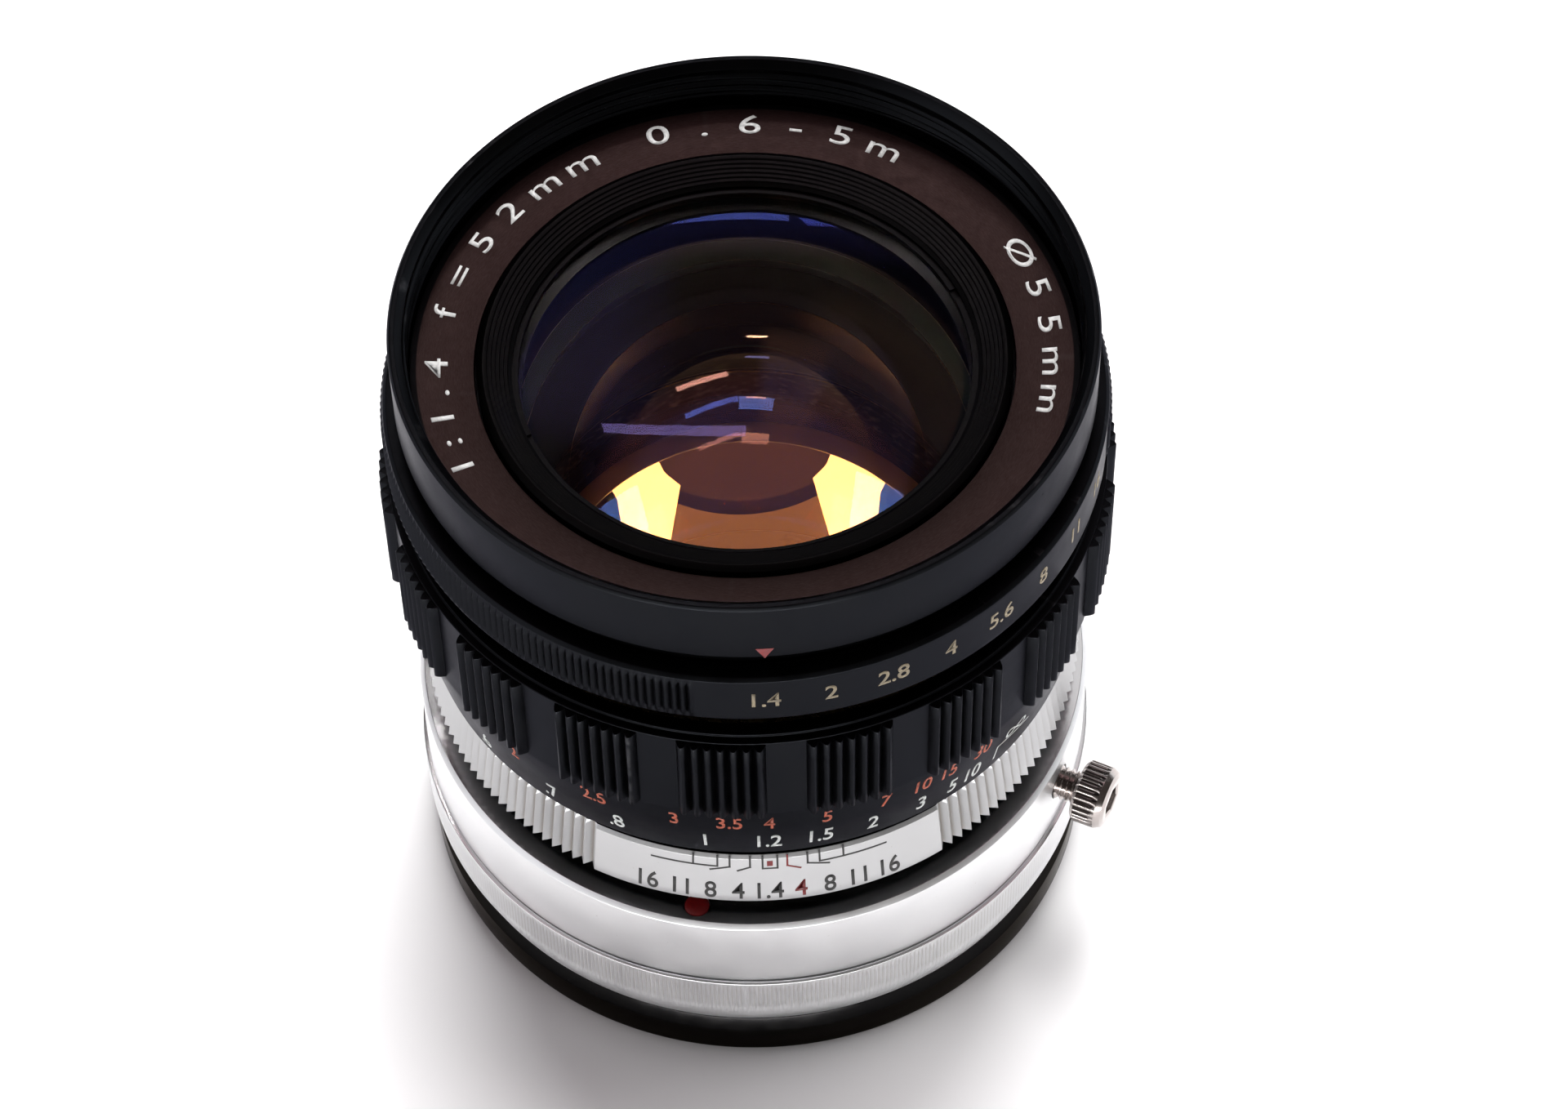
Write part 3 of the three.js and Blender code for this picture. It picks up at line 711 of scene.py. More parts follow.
def paint(name, colour, rough=0.5):
    """Enamel filled into engraved figures, a little uneven."""
    n = Finish(name)
    patchy = n.noise(0.25 * MM, detail=4)
    darker = tuple(0.72 * c for c in colour)
    fill = n.blend(n.ramp(patchy, 0.35, 0.65), rgb(*darker), rgb(*colour))
    normal = n.bump(n.noise(0.08 * MM), 0.004 * MM)
    return n.finish(Base_Color=fill, Roughness=n.ramp(patchy, 0.3, 0.7, rough, rough + 0.15),
                    Normal=normal)


def pale_floor():
    """White paper, a little uneven."""
    n = Finish("pale_floor")
    colour = n.blend(n.noise(60 * MM), rgb(0.86, 0.86, 0.865), rgb(0.88, 0.88, 0.885))
    return n.finish(Base_Color=colour, Roughness=n.ramp(n.noise(2 * MM), 0.3, 0.7, 0.6, 0.7))


BLACK = black_anodised()
GLOSS = gloss_black()
MATT = matt_black()
BROWN = name_ring_black()
CHROME = satin_chrome("satin_chrome", 1.0)
# A darker copy of the satin chrome for the depth-of-field ring: painted shade, for the shadowed floor
# that the ring mirrors.
SHADED_CHROME = satin_chrome("shaded_chrome", 0.60)
STEEL = bright_steel()
BRASS = brass()
BLADE = blade_steel()
RED = paint("red_paint", (0.26, 0.004, 0.005), 0.32)
WHITE_PAINT = paint("white_paint", (0.70, 0.73, 0.71))
ORANGE_PAINT = paint("orange_paint", (0.46, 0.072, 0.02))
TAN_PAINT = paint("tan_paint", (0.33, 0.27, 0.17))
BLACK_PAINT = paint("black_paint", (0.02, 0.019, 0.018))
GREY_PAINT = paint("grey_paint", (0.50, 0.50, 0.49))


# ---------------------------------------------------------------- front of the lens


def triangle_wave(turns):
    """0 at whole numbers and 1 halfway between them."""
    return 1 - np.abs(2 * (turns % 1) - 1)


def smooth_step(value):
    """Rises smoothly from 0 at 0 to 1 at 1."""
    value = np.clip(value, 0, 1)
    return value * value * (3 - 2 * value)


def front_barrel():
    """Rim, filter thread, wide barrel and the neck that the aperture ring turns on."""
    wall, pitch, depth = 27.4 * MM, 0.75 * MM, 0.26 * MM  # of the filter thread
    length, runout = 2.9 * MM, 0.3 * MM
    top = high("front_barrel") - 0.9 * MM
    bottom = top - length
    outline = rounded(section("front_barrel"))
    outline = divided(outline, 0.09 * MM, lambda r, z: abs(r - wall) < 0.01 * MM and z > bottom - MM)

    def threaded(angle, r, z):
        on_thread = (np.abs(r - wall) < 0.02 * MM) & (z > bottom - 0.5 * MM)
        fade = smooth_step((top - z) / runout) * smooth_step((z - bottom) / runout)
        crest = triangle_wave(z / pitch - angle / FULL_TURN)
        return r - on_thread * fade * depth * crest, z

    piece = turned("front_barrel_fine", outline, even_angles(360), threaded)
    stand_in(piece, "front_barrel", finish=BLACK)


def aperture_triangle():
    """Red triangle on the barrel that points at the aperture figures."""
    size = 0.72 * MM
    points = [(0, -size), (size, size * 0.75), (-size, size * 0.75)]
    flat = plate("triangle", points, -PAINT, PAINT)
    vertices = np.array([v.co for v in flat.data.vertices])
    faces = [list(p.vertices) for p in flat.data.polygons]
    bpy.data.objects.remove(flat)
    laid = on_wall((vertices, faces), 0, middle_of("aperture_index").z, upright(reach("front_barrel")))
    piece = marks("aperture_triangle", [laid], "optics", RED)
    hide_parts("aperture_index")


RING_TEXTS = [  # text, angle of its first sign, degrees from sign to sign
    ("1:1.4", -67, 6.0),
    ("f=52mm", -104.5, 9.05),
    ("0.6-5m", -166, 9.0),
    ("Ø55mm", 112, 9.0),
]


def name_ring():
    """Shallow dish round the glass, with figures on it."""
    outer, top, foot = reach("name_ring"), high("name_ring"), low("name_ring")
    inner, fall = 21.9 * MM, 0.45 * MM

    def height_at(r):
        return top - fall * (outer - r) / (outer - inner)

    loop = [(inner, foot), (outer, foot), (outer, top), (inner, height_at(inner))]
    outline = rounded(np.array(loop), 0.1 * MM)
    stand_in(turned("name_ring_fine", outline), "name_ring", finish=BROWN)

    middle = 25.0 * MM
    items = [
        on_face(flat_figures(sign, 1.95 * MM, 1.6, 0.01 * MM), start - k * pitch, middle, height_at)
        for text, start, pitch in RING_TEXTS
        for k, sign in enumerate(text)
    ]
    marks("name_ring_figures", items, "optics", GREY_PAINT)


def baffle():
    """Cone in front of the glass, with fine steps that stop stray light."""
    steps = 7
    plain = section("front_baffle_ring")
    loop = []
    for start, end in zip(plain, np.roll(plain, -1, 0)):
        loop.append(start)
        cone = start[1] > end[1] + MM and abs(start[0] - end[0]) > MM
        for k in range(1, steps if cone else 0):
            ledge = start + (end - start) * k / steps
            loop.append(np.array([ledge[0], ledge[1] + 0.13 * MM]))
            loop.append(np.array([ledge[0] - 0.04 * MM, ledge[1] - 0.05 * MM]))
    outline = rounded(np.array(loop), 0.03 * MM, 2)
    stand_in(turned("front_baffle_fine", outline), "front_baffle_ring", finish=MATT)


def retaining_ring(node, name):
    """Flat threaded ring that holds a lens element, with two slots for the spanner."""
    loop = section(node)
    outline = rounded(loop, 0.06 * MM)
    inner, outer = loop[:, 0].min(), loop[:, 0].max()
    corners = rectangle(inner - MM, outer - 0.4 * MM, 0.5 * MM)
    floor_z = high(node) - 0.25 * MM
    slots = []
    for side in (0, math.pi):
        slot = plate("slot", corners, floor_z, high(node) + MM)
        slots.append(laid_out(slot, Matrix.Rotation(side + math.radians(20), 4, "Z")))
    stand_in(cut(turned(name, outline), slots), node, finish=MATT)


# ---------------------------------------------------------------- rings that turn

APERTURE_TEETH = 275
APERTURE_FIGURES = {"1.4": 0, "2": 10, "2.8": 20, "4": 30, "5.6": 40, "8": 50, "11": 60, "16": 70}
SMOOTH_BAND = (-11, 79)  # degrees from the index where the aperture ring isn't knurled


def from_index(angle):
    """Angle from the index line in degrees, between -180 and 180."""
    return (np.degrees(angle - INDEX) + 180) % 360 - 180


def aperture_ring():
    """Knurled ring with the aperture figures on a smooth band."""
    wall = reach("aperture_ring")
    bottom, top = low("aperture_ring"), high("aperture_ring")
    outline = rounded(section("aperture_ring"), 0.1 * MM)
    outline = divided(outline, 0.35 * MM, lambda r, z: r > wall - 0.01 * MM)
    angles = even_angles(APERTURE_TEETH * 6)

    def knurled(angle, r, z):
        here = from_index(angle)
        outside = (here < SMOOTH_BAND[0]) | (here > SMOOTH_BAND[1])
        edge = 0.75 * MM
        ends = smooth_step((top - z) / edge - 0.4) * smooth_step((z - bottom) / edge - 0.4)
        tooth = triangle_wave(angle / FULL_TURN * APERTURE_TEETH) ** 0.8
        on_outside = r > wall - 0.4 * MM
        lift = 0.36 * MM * tooth - 0.1 * MM
        return r + outside * ends * on_outside * lift, z

    piece = turned("aperture_ring_fine", outline, angles, knurled, sharp=50)
    stand_in(piece, "aperture_ring", finish=BLACK)
    figures = figures_on_wall(APERTURE_FIGURES, 1.8 * MM, 0.92, 0.035 * MM, bottom + 2.9 * MM,
                              upright(wall))
    marks("aperture_figures", figures, "aperture", TAN_PAINT)


GRIP = {"groups": 18, "ribs": 7, "pitch": math.radians(1.97), "crest": 30.58 * MM,
        "valley": 29.95 * MM, "bottom": 38.55 * MM, "first": math.radians(-97.2)}
GROUP = FULL_TURN / GRIP["groups"]  # from one group of ribs to the next
RIBBED = GRIP["ribs"] * GRIP["pitch"]  # width of a group of ribs
RIB_SAMPLES = 8
LAND_SAMPLES = 16


def grip_angles():
    """Angles round the focus ring, close together on the ribs and wider on the lands."""
    on_ribs = np.linspace(0, RIBBED, GRIP["ribs"] * RIB_SAMPLES + 1)
    edge = math.radians(0.05)
    on_land = np.linspace(RIBBED + edge, GROUP - edge, LAND_SAMPLES)
    one = np.concatenate([on_ribs, on_land])
    start = GRIP["first"] - RIBBED / 2
    return np.concatenate([start + k * GROUP + one for k in range(GRIP["groups"])])


def focus_radius(z):
    """Radius of the focus ring's skirt and lands at a height."""
    bottom = low("focus_ring")
    foot, base = 28.2 * MM, 29.8 * MM
    return foot + (base - foot) * np.clip((z - bottom) / (GRIP["bottom"] - 0.4 * MM - bottom), 0, 1)


def focus_ring():
    """Ribbed grip, and the skirt with the distance scale."""
    bottom, top = low("focus_ring"), high("focus_ring")
    shoulder = top - 0.25 * MM
    rib_top, rib_bottom = shoulder - 0.15 * MM, GRIP["bottom"]
    base = float(focus_radius(shoulder))
    bearing, inner, lip = 26.3 * MM, 27.9 * MM, 29.1 * MM
    ledge = 34.2 * MM
    loop = [
        (bearing, bottom), (float(focus_radius(bottom)), bottom), (base, rib_bottom - 0.4 * MM),
        (base, shoulder), (lip, shoulder), (lip, top), (inner, top), (inner, ledge), (bearing, ledge),
    ]
    outline = rounded(np.array(loop), 0.1 * MM)
    levels = [rib_bottom, rib_bottom + 0.04 * MM, rib_bottom + 0.14 * MM, rib_top - 0.12 * MM,
              rib_top - 0.03 * MM, rib_top]
    inside = np.linspace(rib_bottom + 2 * MM, rib_top - 2 * MM, 5)
    rows = [(base, z) for z in sorted([*levels, *inside])]
    start = next(i for i, (r, z) in enumerate(outline) if z > rib_bottom and r > 29 * MM)
    outline = np.concatenate([outline[:start], rows, outline[start:]])

    def ribbed(angle, r, z):
        offset = (angle - GRIP["first"] + RIBBED / 2 + 1e-6) % GROUP
        inside_group = offset <= RIBBED + 2e-6
        wave = 0.5 - 0.5 * np.cos(offset / GRIP["pitch"] * FULL_TURN)
        across = GRIP["valley"] + (GRIP["crest"] - GRIP["valley"]) * wave**0.6
        end = math.radians(0.1)
        ends = (offset < end) | (offset > RIBBED - end)
        crest = np.where(ends, base, across)
        up = np.clip((z - rib_bottom) / (0.04 * MM), 0, 1)
        down = np.clip((rib_top - z) / (0.03 * MM), 0, 1)
        near_end = (z > rib_top - 0.1 * MM) | (z < rib_bottom + 0.1 * MM)
        rounding = np.where(near_end, 0.07 * MM, 0)
        on_grip = (r > base - 0.001 * MM) & (z >= rib_bottom) & (z <= rib_top)
        lift = np.maximum(crest - rounding - r, 0) * up * down * inside_group * on_grip
        return r + lift, z

    piece = turned("focus_ring_fine", outline, grip_angles(), ribbed, sharp=42)
    stand_in(piece, "focus_ring", finish=BLACK)
    distance_scale(bottom)


METRES = {".6": -53.7, ".7": -38.3, ".8": -25.8, "1": -10.6, "1.2": 0, "1.5": 8.6, "2": 17.5,
          "3": 26.3, "5": 32.5, "10": 36.9}
FEET = {"2": -44.5, "2.5": -28.9, "3": -15.3, "3.5": -6.4, "4": 0, "5": 9.3, "7": 19.1, "10": 25.8,
        "15": 30.8, "30": 37.6}
INFINITY_ANGLE = 45.9


def infinity_sign(width):
    """Two loops side by side, as a line."""
    turns = np.linspace(0, FULL_TURN, 33)
    x = width / 2 * np.cos(turns)
    y = width / 2 * np.sin(turns) * np.cos(turns)
    return list(zip(x, y))


def distance_scale(bottom):
    """Metres in white, with the infinity mark, and feet in orange above them."""
    bracket = [(-2.0 * MM, -1.6 * MM), (-2.0 * MM, 0.6 * MM), (1.9 * MM, 0.6 * MM)]
    infinity = flat_line(infinity_sign(2.3 * MM), 0.2 * MM)
    metres = [
        *figures_on_wall(METRES, 2.45 * MM, 0.6, 0.045 * MM, bottom + 2.45 * MM, focus_radius),
        on_wall(infinity, INFINITY_ANGLE, bottom + 4.7 * MM, focus_radius),
        on_wall(flat_line(bracket, 0.16 * MM), INFINITY_ANGLE, bottom + 3.1 * MM, focus_radius),
    ]
    marks("metre_figures", metres, "focus", WHITE_PAINT)
    feet = figures_on_wall(FEET, 2.3 * MM, 0.6, 0.04 * MM, bottom + 6.3 * MM, focus_radius)
    marks("feet_figures", feet, "focus", ORANGE_PAINT)


# ---------------------------------------------------------------- depth-of-field ring

SERRATION_PITCH = math.radians(360 / 168)
SERRATION_DEPTH = 0.66 * MM
SMOOTH = math.radians(31)  # half of the stretch that carries the scale
TOOTHED = FULL_TURN - 2 * SMOOTH
SERRATIONS = round(TOOTHED / SERRATION_PITCH)


def scale_angles():
    """Angles at the crests and hollows of the serrations, and evenly over the smooth part."""
    steps = SERRATIONS * 4
    on_teeth = INDEX + SMOOTH + np.arange(steps) * TOOTHED / steps
    on_smooth = INDEX - SMOOTH + np.arange(0, 2 * SMOOTH, SERRATION_PITCH / 4)
    return np.concatenate([on_smooth, on_teeth])


def scale_radius(z):
    """Radius of the depth-of-field ring at a height."""
    bottom, top = low("depth_of_field_ring"), high("depth_of_field_ring")
    foot, head, chamfer = reach("depth_of_field_ring"), 27.7 * MM, 0.3 * MM
    return foot + (head - foot) * (z - bottom) / (top - chamfer - bottom)


def depth_of_field_ring():
    """Serrated cone with a smooth part for the scale."""
    outline = rounded(section("depth_of_field_ring"), 0.04 * MM, 2)
    outline = divided(outline, 0.8 * MM, lambda r, z: r > 27.8 * MM)
    outline = divided(outline, 0.07 * MM, lambda r, z: 27.35 * MM < r <= 27.8 * MM)

    def serrated(angle, r, z):
        here = (angle - INDEX - SMOOTH) % FULL_TURN
        on_teeth = here < TOOTHED
        tooth = triangle_wave(here / TOOTHED * SERRATIONS + 0.5)
        cut_to = scale_radius(z) - SERRATION_DEPTH * (1 - tooth)
        return np.where(on_teeth & (r > 27 * MM), np.minimum(r, cut_to), r), z

    piece = turned("depth_of_field_ring_fine", outline, scale_angles(), serrated, sharp=25)
    stand_in(piece, "depth_of_field_ring", finish=SHADED_CHROME)
    depth_of_field_scale()


def depth_of_field_scale():
    """Aperture figures on both sides of the index, each led to its place on the edge."""
    bottom, top = low("depth_of_field_ring"), high("depth_of_field_ring")
    figure_z = bottom + 1.35 * MM
    radius = float(scale_radius(figure_z))

    def along(degrees):
        return math.radians(degrees) * radius

    def figure(sign, angle):
        return on_wall(flat_figures(sign, 2.0 * MM, 0.80, 0.035 * MM), angle, figure_z, scale_radius)

    def line(path, width=0.17 * MM):
        return on_wall(flat_line(path, width), 0, figure_z, scale_radius)

    figures = {"16": (-21, 21), "11": (-15.3, 15.3), "8": (-10.2, 10.2), "4": (-5.5,), "1.4": (0,)}
    edge = top - figure_z
    kink = edge - 1.25 * MM
    low_kink = kink - 0.45 * MM
    box_foot = kink - 0.2 * MM
    left, right = along(-1.25), along(1.3)
    leaders = {-13.2: -20.5, -9.0: -15.3, -6.9: -10.2, -3.4: -5.5, 6.5: 10.2, 8.6: 15.3, 12.8: 20.5}
    black = [figure(text, angle) for text, angles in figures.items() for angle in angles]
    for tick, angle in leaders.items():
        run = kink if abs(tick) > 8 else low_kink
        black.append(line([(along(tick), edge), (along(tick), kink), (along(angle), run)]))
    for side in (left, right):
        black.append(line([(side, edge), (side, box_foot)]))
    black.append(line([(left, box_foot), (right, box_foot)]))
    marks("depth_figures", black, "adapter", BLACK_PAINT)

    infrared = 3.0
    red = [
        figure("4", 5.2),
        line([(along(infrared), edge), (along(infrared), kink), (along(5.2), low_kink)]),
        line([(0, kink + 0.35 * MM), (0, kink + 0.45 * MM)], 0.5 * MM),
    ]
    marks("infrared_marks", red, "adapter", RED)


# ---------------------------------------------------------------- adapter


def radial(node):
    """Matrix that turns the Z axis to a radial node's own axis, from the lens axis outwards."""
    centre = middle_of(node)
    angle = math.atan2(centre.y, centre.x)
    lift = Matrix.Translation((0, 0, centre.z))
    return lift @ Matrix.Rotation(angle, 4, "Z") @ Matrix.Rotation(math.pi / 2, 4, "Y")


def adapter_body():
    """Chrome socket with the lock screw's hole and the recess of the index dot."""
    outline = rounded(section("adapter_body"), 0.09 * MM)
    piece = turned("adapter_body_fine", outline)
    hole = laid_out(plate("hole", circle(1.62 * MM, 48), 21 * MM, 33 * MM), radial("lock_screw"))
    top = high("adapter_body")
    dot = circle(1.12 * MM, 40, middle_of("mount_index_dot"))
    recess = plate("recess", dot, top - 0.35 * MM, top + MM)
    stand_in(cut(piece, [hole, recess]), "adapter_body", finish=CHROME)


def index_dot():
    """Domed red mounting dot."""
    lowest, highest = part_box("mount_index_dot")
    centre = middle_of("mount_index_dot")
    radius = (highest.x - lowest.x) / 2
    rise = 0.22 * MM
    shoulder = highest.z - rise
    dome = [(radius * math.cos(t), shoulder + rise * math.sin(t))
            for t in np.linspace(0, math.pi / 2, 8)]
    outline = [(0, lowest.z), (radius, lowest.z), *dome[:-1], (0, highest.z)]
    piece = turned("mount_dot_fine", outline, even_angles(40), closed=False)
    laid_out(piece, Matrix.Translation((centre.x, centre.y, 0)))
    stand_in(piece, "mount_index_dot", finish=RED)


def knurled_ring():
    """Finely knurled ring of the adapter."""
    teeth, samples = 490, 4
    runout = 0.35 * MM
    wall = reach("adapter_knurled_ring")
    bottom, top = 6.7 * MM, high("adapter_knurled_ring")
    outline = rounded(section("adapter_knurled_ring"), 0.08 * MM)
    outline = divided(outline, 0.6 * MM, lambda r, z: r > wall - 0.01 * MM)

    def knurled(angle, r, z):
        tooth = triangle_wave(angle / FULL_TURN * teeth)
        ends = smooth_step((top - z) / runout - 0.3) * smooth_step((z - bottom) / runout - 0.3)
        return r - (r > wall - 0.05 * MM) * ends * 0.16 * MM * (1 - tooth), z

    piece = turned("adapter_knurl_fine", outline, even_angles(teeth * samples), knurled, sharp=60)
    stand_in(piece, "adapter_knurled_ring", finish=CHROME)


def rear_flange():
    """Black ring with three bayonet claws inside and four screw recesses under it."""
    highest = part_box("rear_flange")[1]
    throat, radius = 23.2 * MM, highest.x
    claw_radius, claw_width = 21.6 * MM, 0.9
    loop = [(throat, 0), (radius, 0), (radius, 2.9 * MM), (radius - 0.6 * MM, highest.z),
            (throat, highest.z)]
    ring = turned("ring", rounded(np.array(loop), 0.15 * MM))
    heads = [circle(1.35 * MM, 32, middle_of(f"flange_screw_{number}")) for number in range(1, 5)]
    ring = cut(ring, [plate("recess", head, -MM, 1.4 * MM) for head in heads])
    claws = []
    for k in range(3):
        start = k * FULL_TURN / 3
        end = start + claw_width
        outline = [*arc(claw_radius, start, end, 24), *arc(throat + 0.3 * MM, end, start, 24)]
        claws.append(plate("claw", outline, 1.5 * MM, 3 * MM))
    piece = joined("rear_flange_fine", [ring, *claws])
    stand_in(piece, "rear_flange", finish=GLOSS)


def flange_screw(number):
    """Small slotted screw, seen from behind."""
    node = f"flange_screw_{number}"
    lo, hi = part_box(node)
    centre = middle_of(node)
    radius = (hi.x - lo.x) / 2
    head, shank = 1.1 * MM, 0.7 * MM
    loop = [(0, lo.z), (radius, lo.z), (radius, head), (shank, head), (shank, hi.z), (0, hi.z)]
    profile = [loop[0], *rounded(np.array(loop), 0.1 * MM)[3:-3], loop[-1]]
    piece = turned(f"{node}_fine", profile, even_angles(48), closed=False)
    slot = plate("slot", rectangle(-1.5 * MM, 1.5 * MM, 0.16 * MM), lo.z - MM, lo.z + 0.4 * MM)
    laid_out(slot, Matrix.Rotation(number * 0.7, 4, "Z"))
    piece = cut(piece, [slot])
    laid_out(piece, Matrix.Translation((centre.x, centre.y, 0)))
    stand_in(piece, node, finish=STEEL)


def lock_screw():
    """Socket-head screw: coarse thread, straight-knurled head, hexagon socket."""
    shank, head, socket = 1.5 * MM, 2.8 * MM, 1.3 * MM  # radii
    tip, start, end = 24.8 * MM, 31.2 * MM, 34.2 * MM  # the tip, and where the head starts and ends
    socket_end = end - 1.6 * MM
    pitch, teeth = 0.5 * MM, 26
    bevel, shoulder = 0.35 * MM, 0.7 * MM
    loop = [
        (0, tip), (shank - bevel, tip), (shank, tip + bevel), (shank, start), (head - bevel, start),
        (head, start + bevel), (head, end - shoulder),
        (head - 0.4 * shoulder, end - 0.25 * shoulder), (head - shoulder, end),
        (socket + 0.15 * MM, end), (socket, end - 0.12 * MM), (socket, socket_end),
        (0, socket_end - 0.35 * MM),
    ]
    outline = rounded(np.array(loop), 0.1 * MM, 3)[4:-4]
    outline = np.concatenate([[loop[0]], outline, [loop[-1]]])
    for radius, spacing in ((shank, 0.05 * MM), (head, 0.3 * MM)):
        outline = divided(outline, spacing, lambda r, z: abs(r - radius) < 0.01 * MM, closed=False)

    def shaped(angle, r, z):
        thread = (np.abs(r - shank) < 0.02 * MM) & (z < start - 0.15 * MM)
        hollow = triangle_wave(z / pitch - angle / FULL_TURN)
        knurl = (r > head - 0.08 * MM) & (z > start + 0.3 * MM) & (z < end - 0.8 * MM)
        flute = np.abs(np.sin(angle * teeth / 2))
        in_socket = (np.abs(r - socket) < 0.2 * MM) & (z > socket_end - 0.2 * MM)
        sixth = FULL_TURN / 6
        hexagon = math.cos(sixth / 2) / np.cos((angle % sixth) - sixth / 2)
        r = r - thread * 0.28 * MM * hollow
        r = np.where(knurl, head - 0.22 * MM * (1 - flute**0.7), r)
        return np.where(in_socket, r * 1.1 * hexagon, r), z

    piece = turned("lock_screw_fine", outline, even_angles(teeth * 10), shaped, closed=False, sharp=35)
    laid_out(piece, radial("lock_screw"))
    stand_in(piece, "lock_screw", finish=STEEL)


# ---------------------------------------------------------------- glass


def element(node):
    """A lens element with ground edges, and a flat where a face ends short of them."""
    glass, radius = GLASS[node], reach(node) / MM
    back = rear_face(node)
    face = spherical(*glass["front"], glass.get("front_clear", radius), 0)
    edge = []
    if "rear_clear" in glass:
        edge.append((radius * MM, back[-1][1]))
    if "front_clear" in glass:
        edge.append((radius * MM, face[0][1]))
    piece = turned(f"{node}_fine", [*back, *edge, *face], even_angles(192), closed=False, sharp=30)
    stand_in(piece, node, finish=coated_glass(node))


# ---------------------------------------------------------------- iris


def iris_blade(number):
    """One leaf of the iris: a crescent with an ear that carries its two pins."""
    node = f"iris_blade_{number}"
    lo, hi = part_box(node)
    pivot_radius, pin, ear = 20.9 * MM, 0.45 * MM, 1.1 * MM
    drive_angle = 2 * math.asin(2.5 * MM / pivot_radius)
    level, thick = 0.28 * MM, 0.14 * MM
    bottom = low("iris_floor") + 0.75 * MM + (number - 1) * level
    tip = math.radians(104)
    pivot, drive = polar(pivot_radius, 0), polar(pivot_radius, drive_angle)
    drive_ear = [drive + polar(ear, drive_angle + t) for t in np.linspace(1.2, -0.2, 8)]
    pivot_ear = [pivot + polar(ear, t) for t in np.linspace(0, -1.6, 8)]
    inner_edge = arc(14.75 * MM, -0.03, tip, 72)
    outer_edge = arc(20.2 * MM, tip, drive_angle + 0.09, 60)
    outline = [*inner_edge, *outer_edge, *drive_ear, *pivot_ear]
    leaf = plate("leaf", outline, bottom, bottom + thick)
    pivot_pin = plate("pin", circle(pin, 24, pivot), lo.z, bottom + thick)
    drive_pin = plate("pin", circle(pin, 24, drive), bottom, hi.z)
    piece = joined(f"{node}_fine", [leaf, pivot_pin, drive_pin])
    laid_out(piece, Matrix.Rotation((number - 1) * FULL_TURN / 6, 4, "Z"))
    stand_in(piece, node, finish=BLADE)


# ---------------------------------------------------------------- plain turned pieces

PLAIN_TURNED = {
    # The chrome bayonet neck gets gloss black: painted shade in the gap under the depth-of-field ring.
    "lens_mount": GLOSS,
    "fixed_barrel": BLACK,
    "focus_retaining_ring": BRASS,
    "focus_helicoid": BRASS,
    "front_cell": MATT,
    "rear_cell": MATT,
    "iris_spacer": MATT,
    "aperture_snap_ring": STEEL,
}
KEPT_FROM_CAD = {
    "guide_key_left": BRASS,
    "guide_key_right": BRASS,
    "lock_pad": BRASS,
    "click_ball": STEEL,
    "click_spring": STEEL,
    "iris_floor": MATT,
    "iris_cam_ring": BRASS,
    "iris_drive_arm": BRASS,
    "aperture_drive_pin": STEEL,
}


KEY_SLOT = {"inner": 22.7 * MM, "outer": 25.7 * MM, "half": 1.85 * MM, "bottom": 23.5 * MM,
            "top": 36.5 * MM}
DRIVE_WINDOW = {"inner": 22.2 * MM, "outer": 28.2 * MM, "from": math.radians(50),
                "to": math.radians(130), "bottom": 53.1 * MM, "top": 55.3 * MM}


def optics_barrel():
    """Sliding barrel with two keyways and the window that the aperture drive swings in."""
    fine = turned("optics_barrel_fine", rounded(section("optics_barrel"), 0.08 * MM))
    slot, window = KEY_SLOT, DRIVE_WINDOW
    cutters = []
    for side in (1, -1):
        corners = rectangle(side * slot["inner"], side * slot["outer"], slot["half"])
        cutters.append(plate("keyway", corners, slot["bottom"], slot["top"]))
    inner = arc(window["inner"], window["from"], window["to"], 40)
    outer = arc(window["outer"], window["to"], window["from"], 40)
    cutters.append(plate("drive_window", [*inner, *outer], window["bottom"], window["top"]))
    stand_in(cut(fine, cutters), "optics_barrel", finish=BLACK)


def plain_turned(node, finish):
    """A ring or tube with rounded corners."""
    outline = rounded(section(node), 0.08 * MM)
    stand_in(turned(f"{node}_fine", outline), node, finish=finish)


def keep(node, finish):
    """A CAD node that stays as it is, with a better material."""
    piece = frame["nodes"][node]
    piece.data.materials.clear()
    piece.data.materials.append(finish)


def build_lens():
    """Every piece, from the front to the rear, and then what is inside."""
    front_barrel()
    aperture_triangle()
    name_ring()
    baffle()
    retaining_ring("front_retaining_ring", "front_retainer_fine")
    retaining_ring("rear_retaining_ring", "rear_retainer_fine")
    aperture_ring()
    focus_ring()
    depth_of_field_ring()
    adapter_body()
    index_dot()
    knurled_ring()
    rear_flange()
    for number in range(1, 5):
        flange_screw(number)
    lock_screw()
    for node in GLASS:
        element(node)
    for number in range(1, 7):
        iris_blade(number)
    optics_barrel()
    for node, finish in PLAIN_TURNED.items():
        plain_turned(node, finish)
    for node, finish in KEPT_FROM_CAD.items():
        keep(node, finish)


# ---------------------------------------------------------------- floor, light and camera


def floor():
    """A wide pale surface under the lens."""
    half = 3.0
    corners = [(x, y, 0) for x, y in rectangle(-half, half, half)]
    piece = new_piece("floor", corners, [(0, 1, 2, 3)])
    piece.data.materials.append(pale_floor())


WALLS = [  # light places round the room: azimuth, elevation, half widths, softness, colour
    (-162, 24, 20, 13, 6, (1.25, 1.25, 1.3)),
    (90, 8, 75, 8, 8, (0.45, 0.45, 0.48)),
    (45, 50, 24, 12, 8, (0.30, 0.30, 0.30)),
    (122, 50, 22, 12, 8, (0.10, 0.10, 0.10)),
    (74, 54, 7, 4, 4, (0.9, 0.9, 0.9)),
    (25, 5, 28, 6, 4, (1.6, 1.65, 1.7)),
    (90, 90, 95, 30, 3, (1.0, 0.74, 0.80)),
]


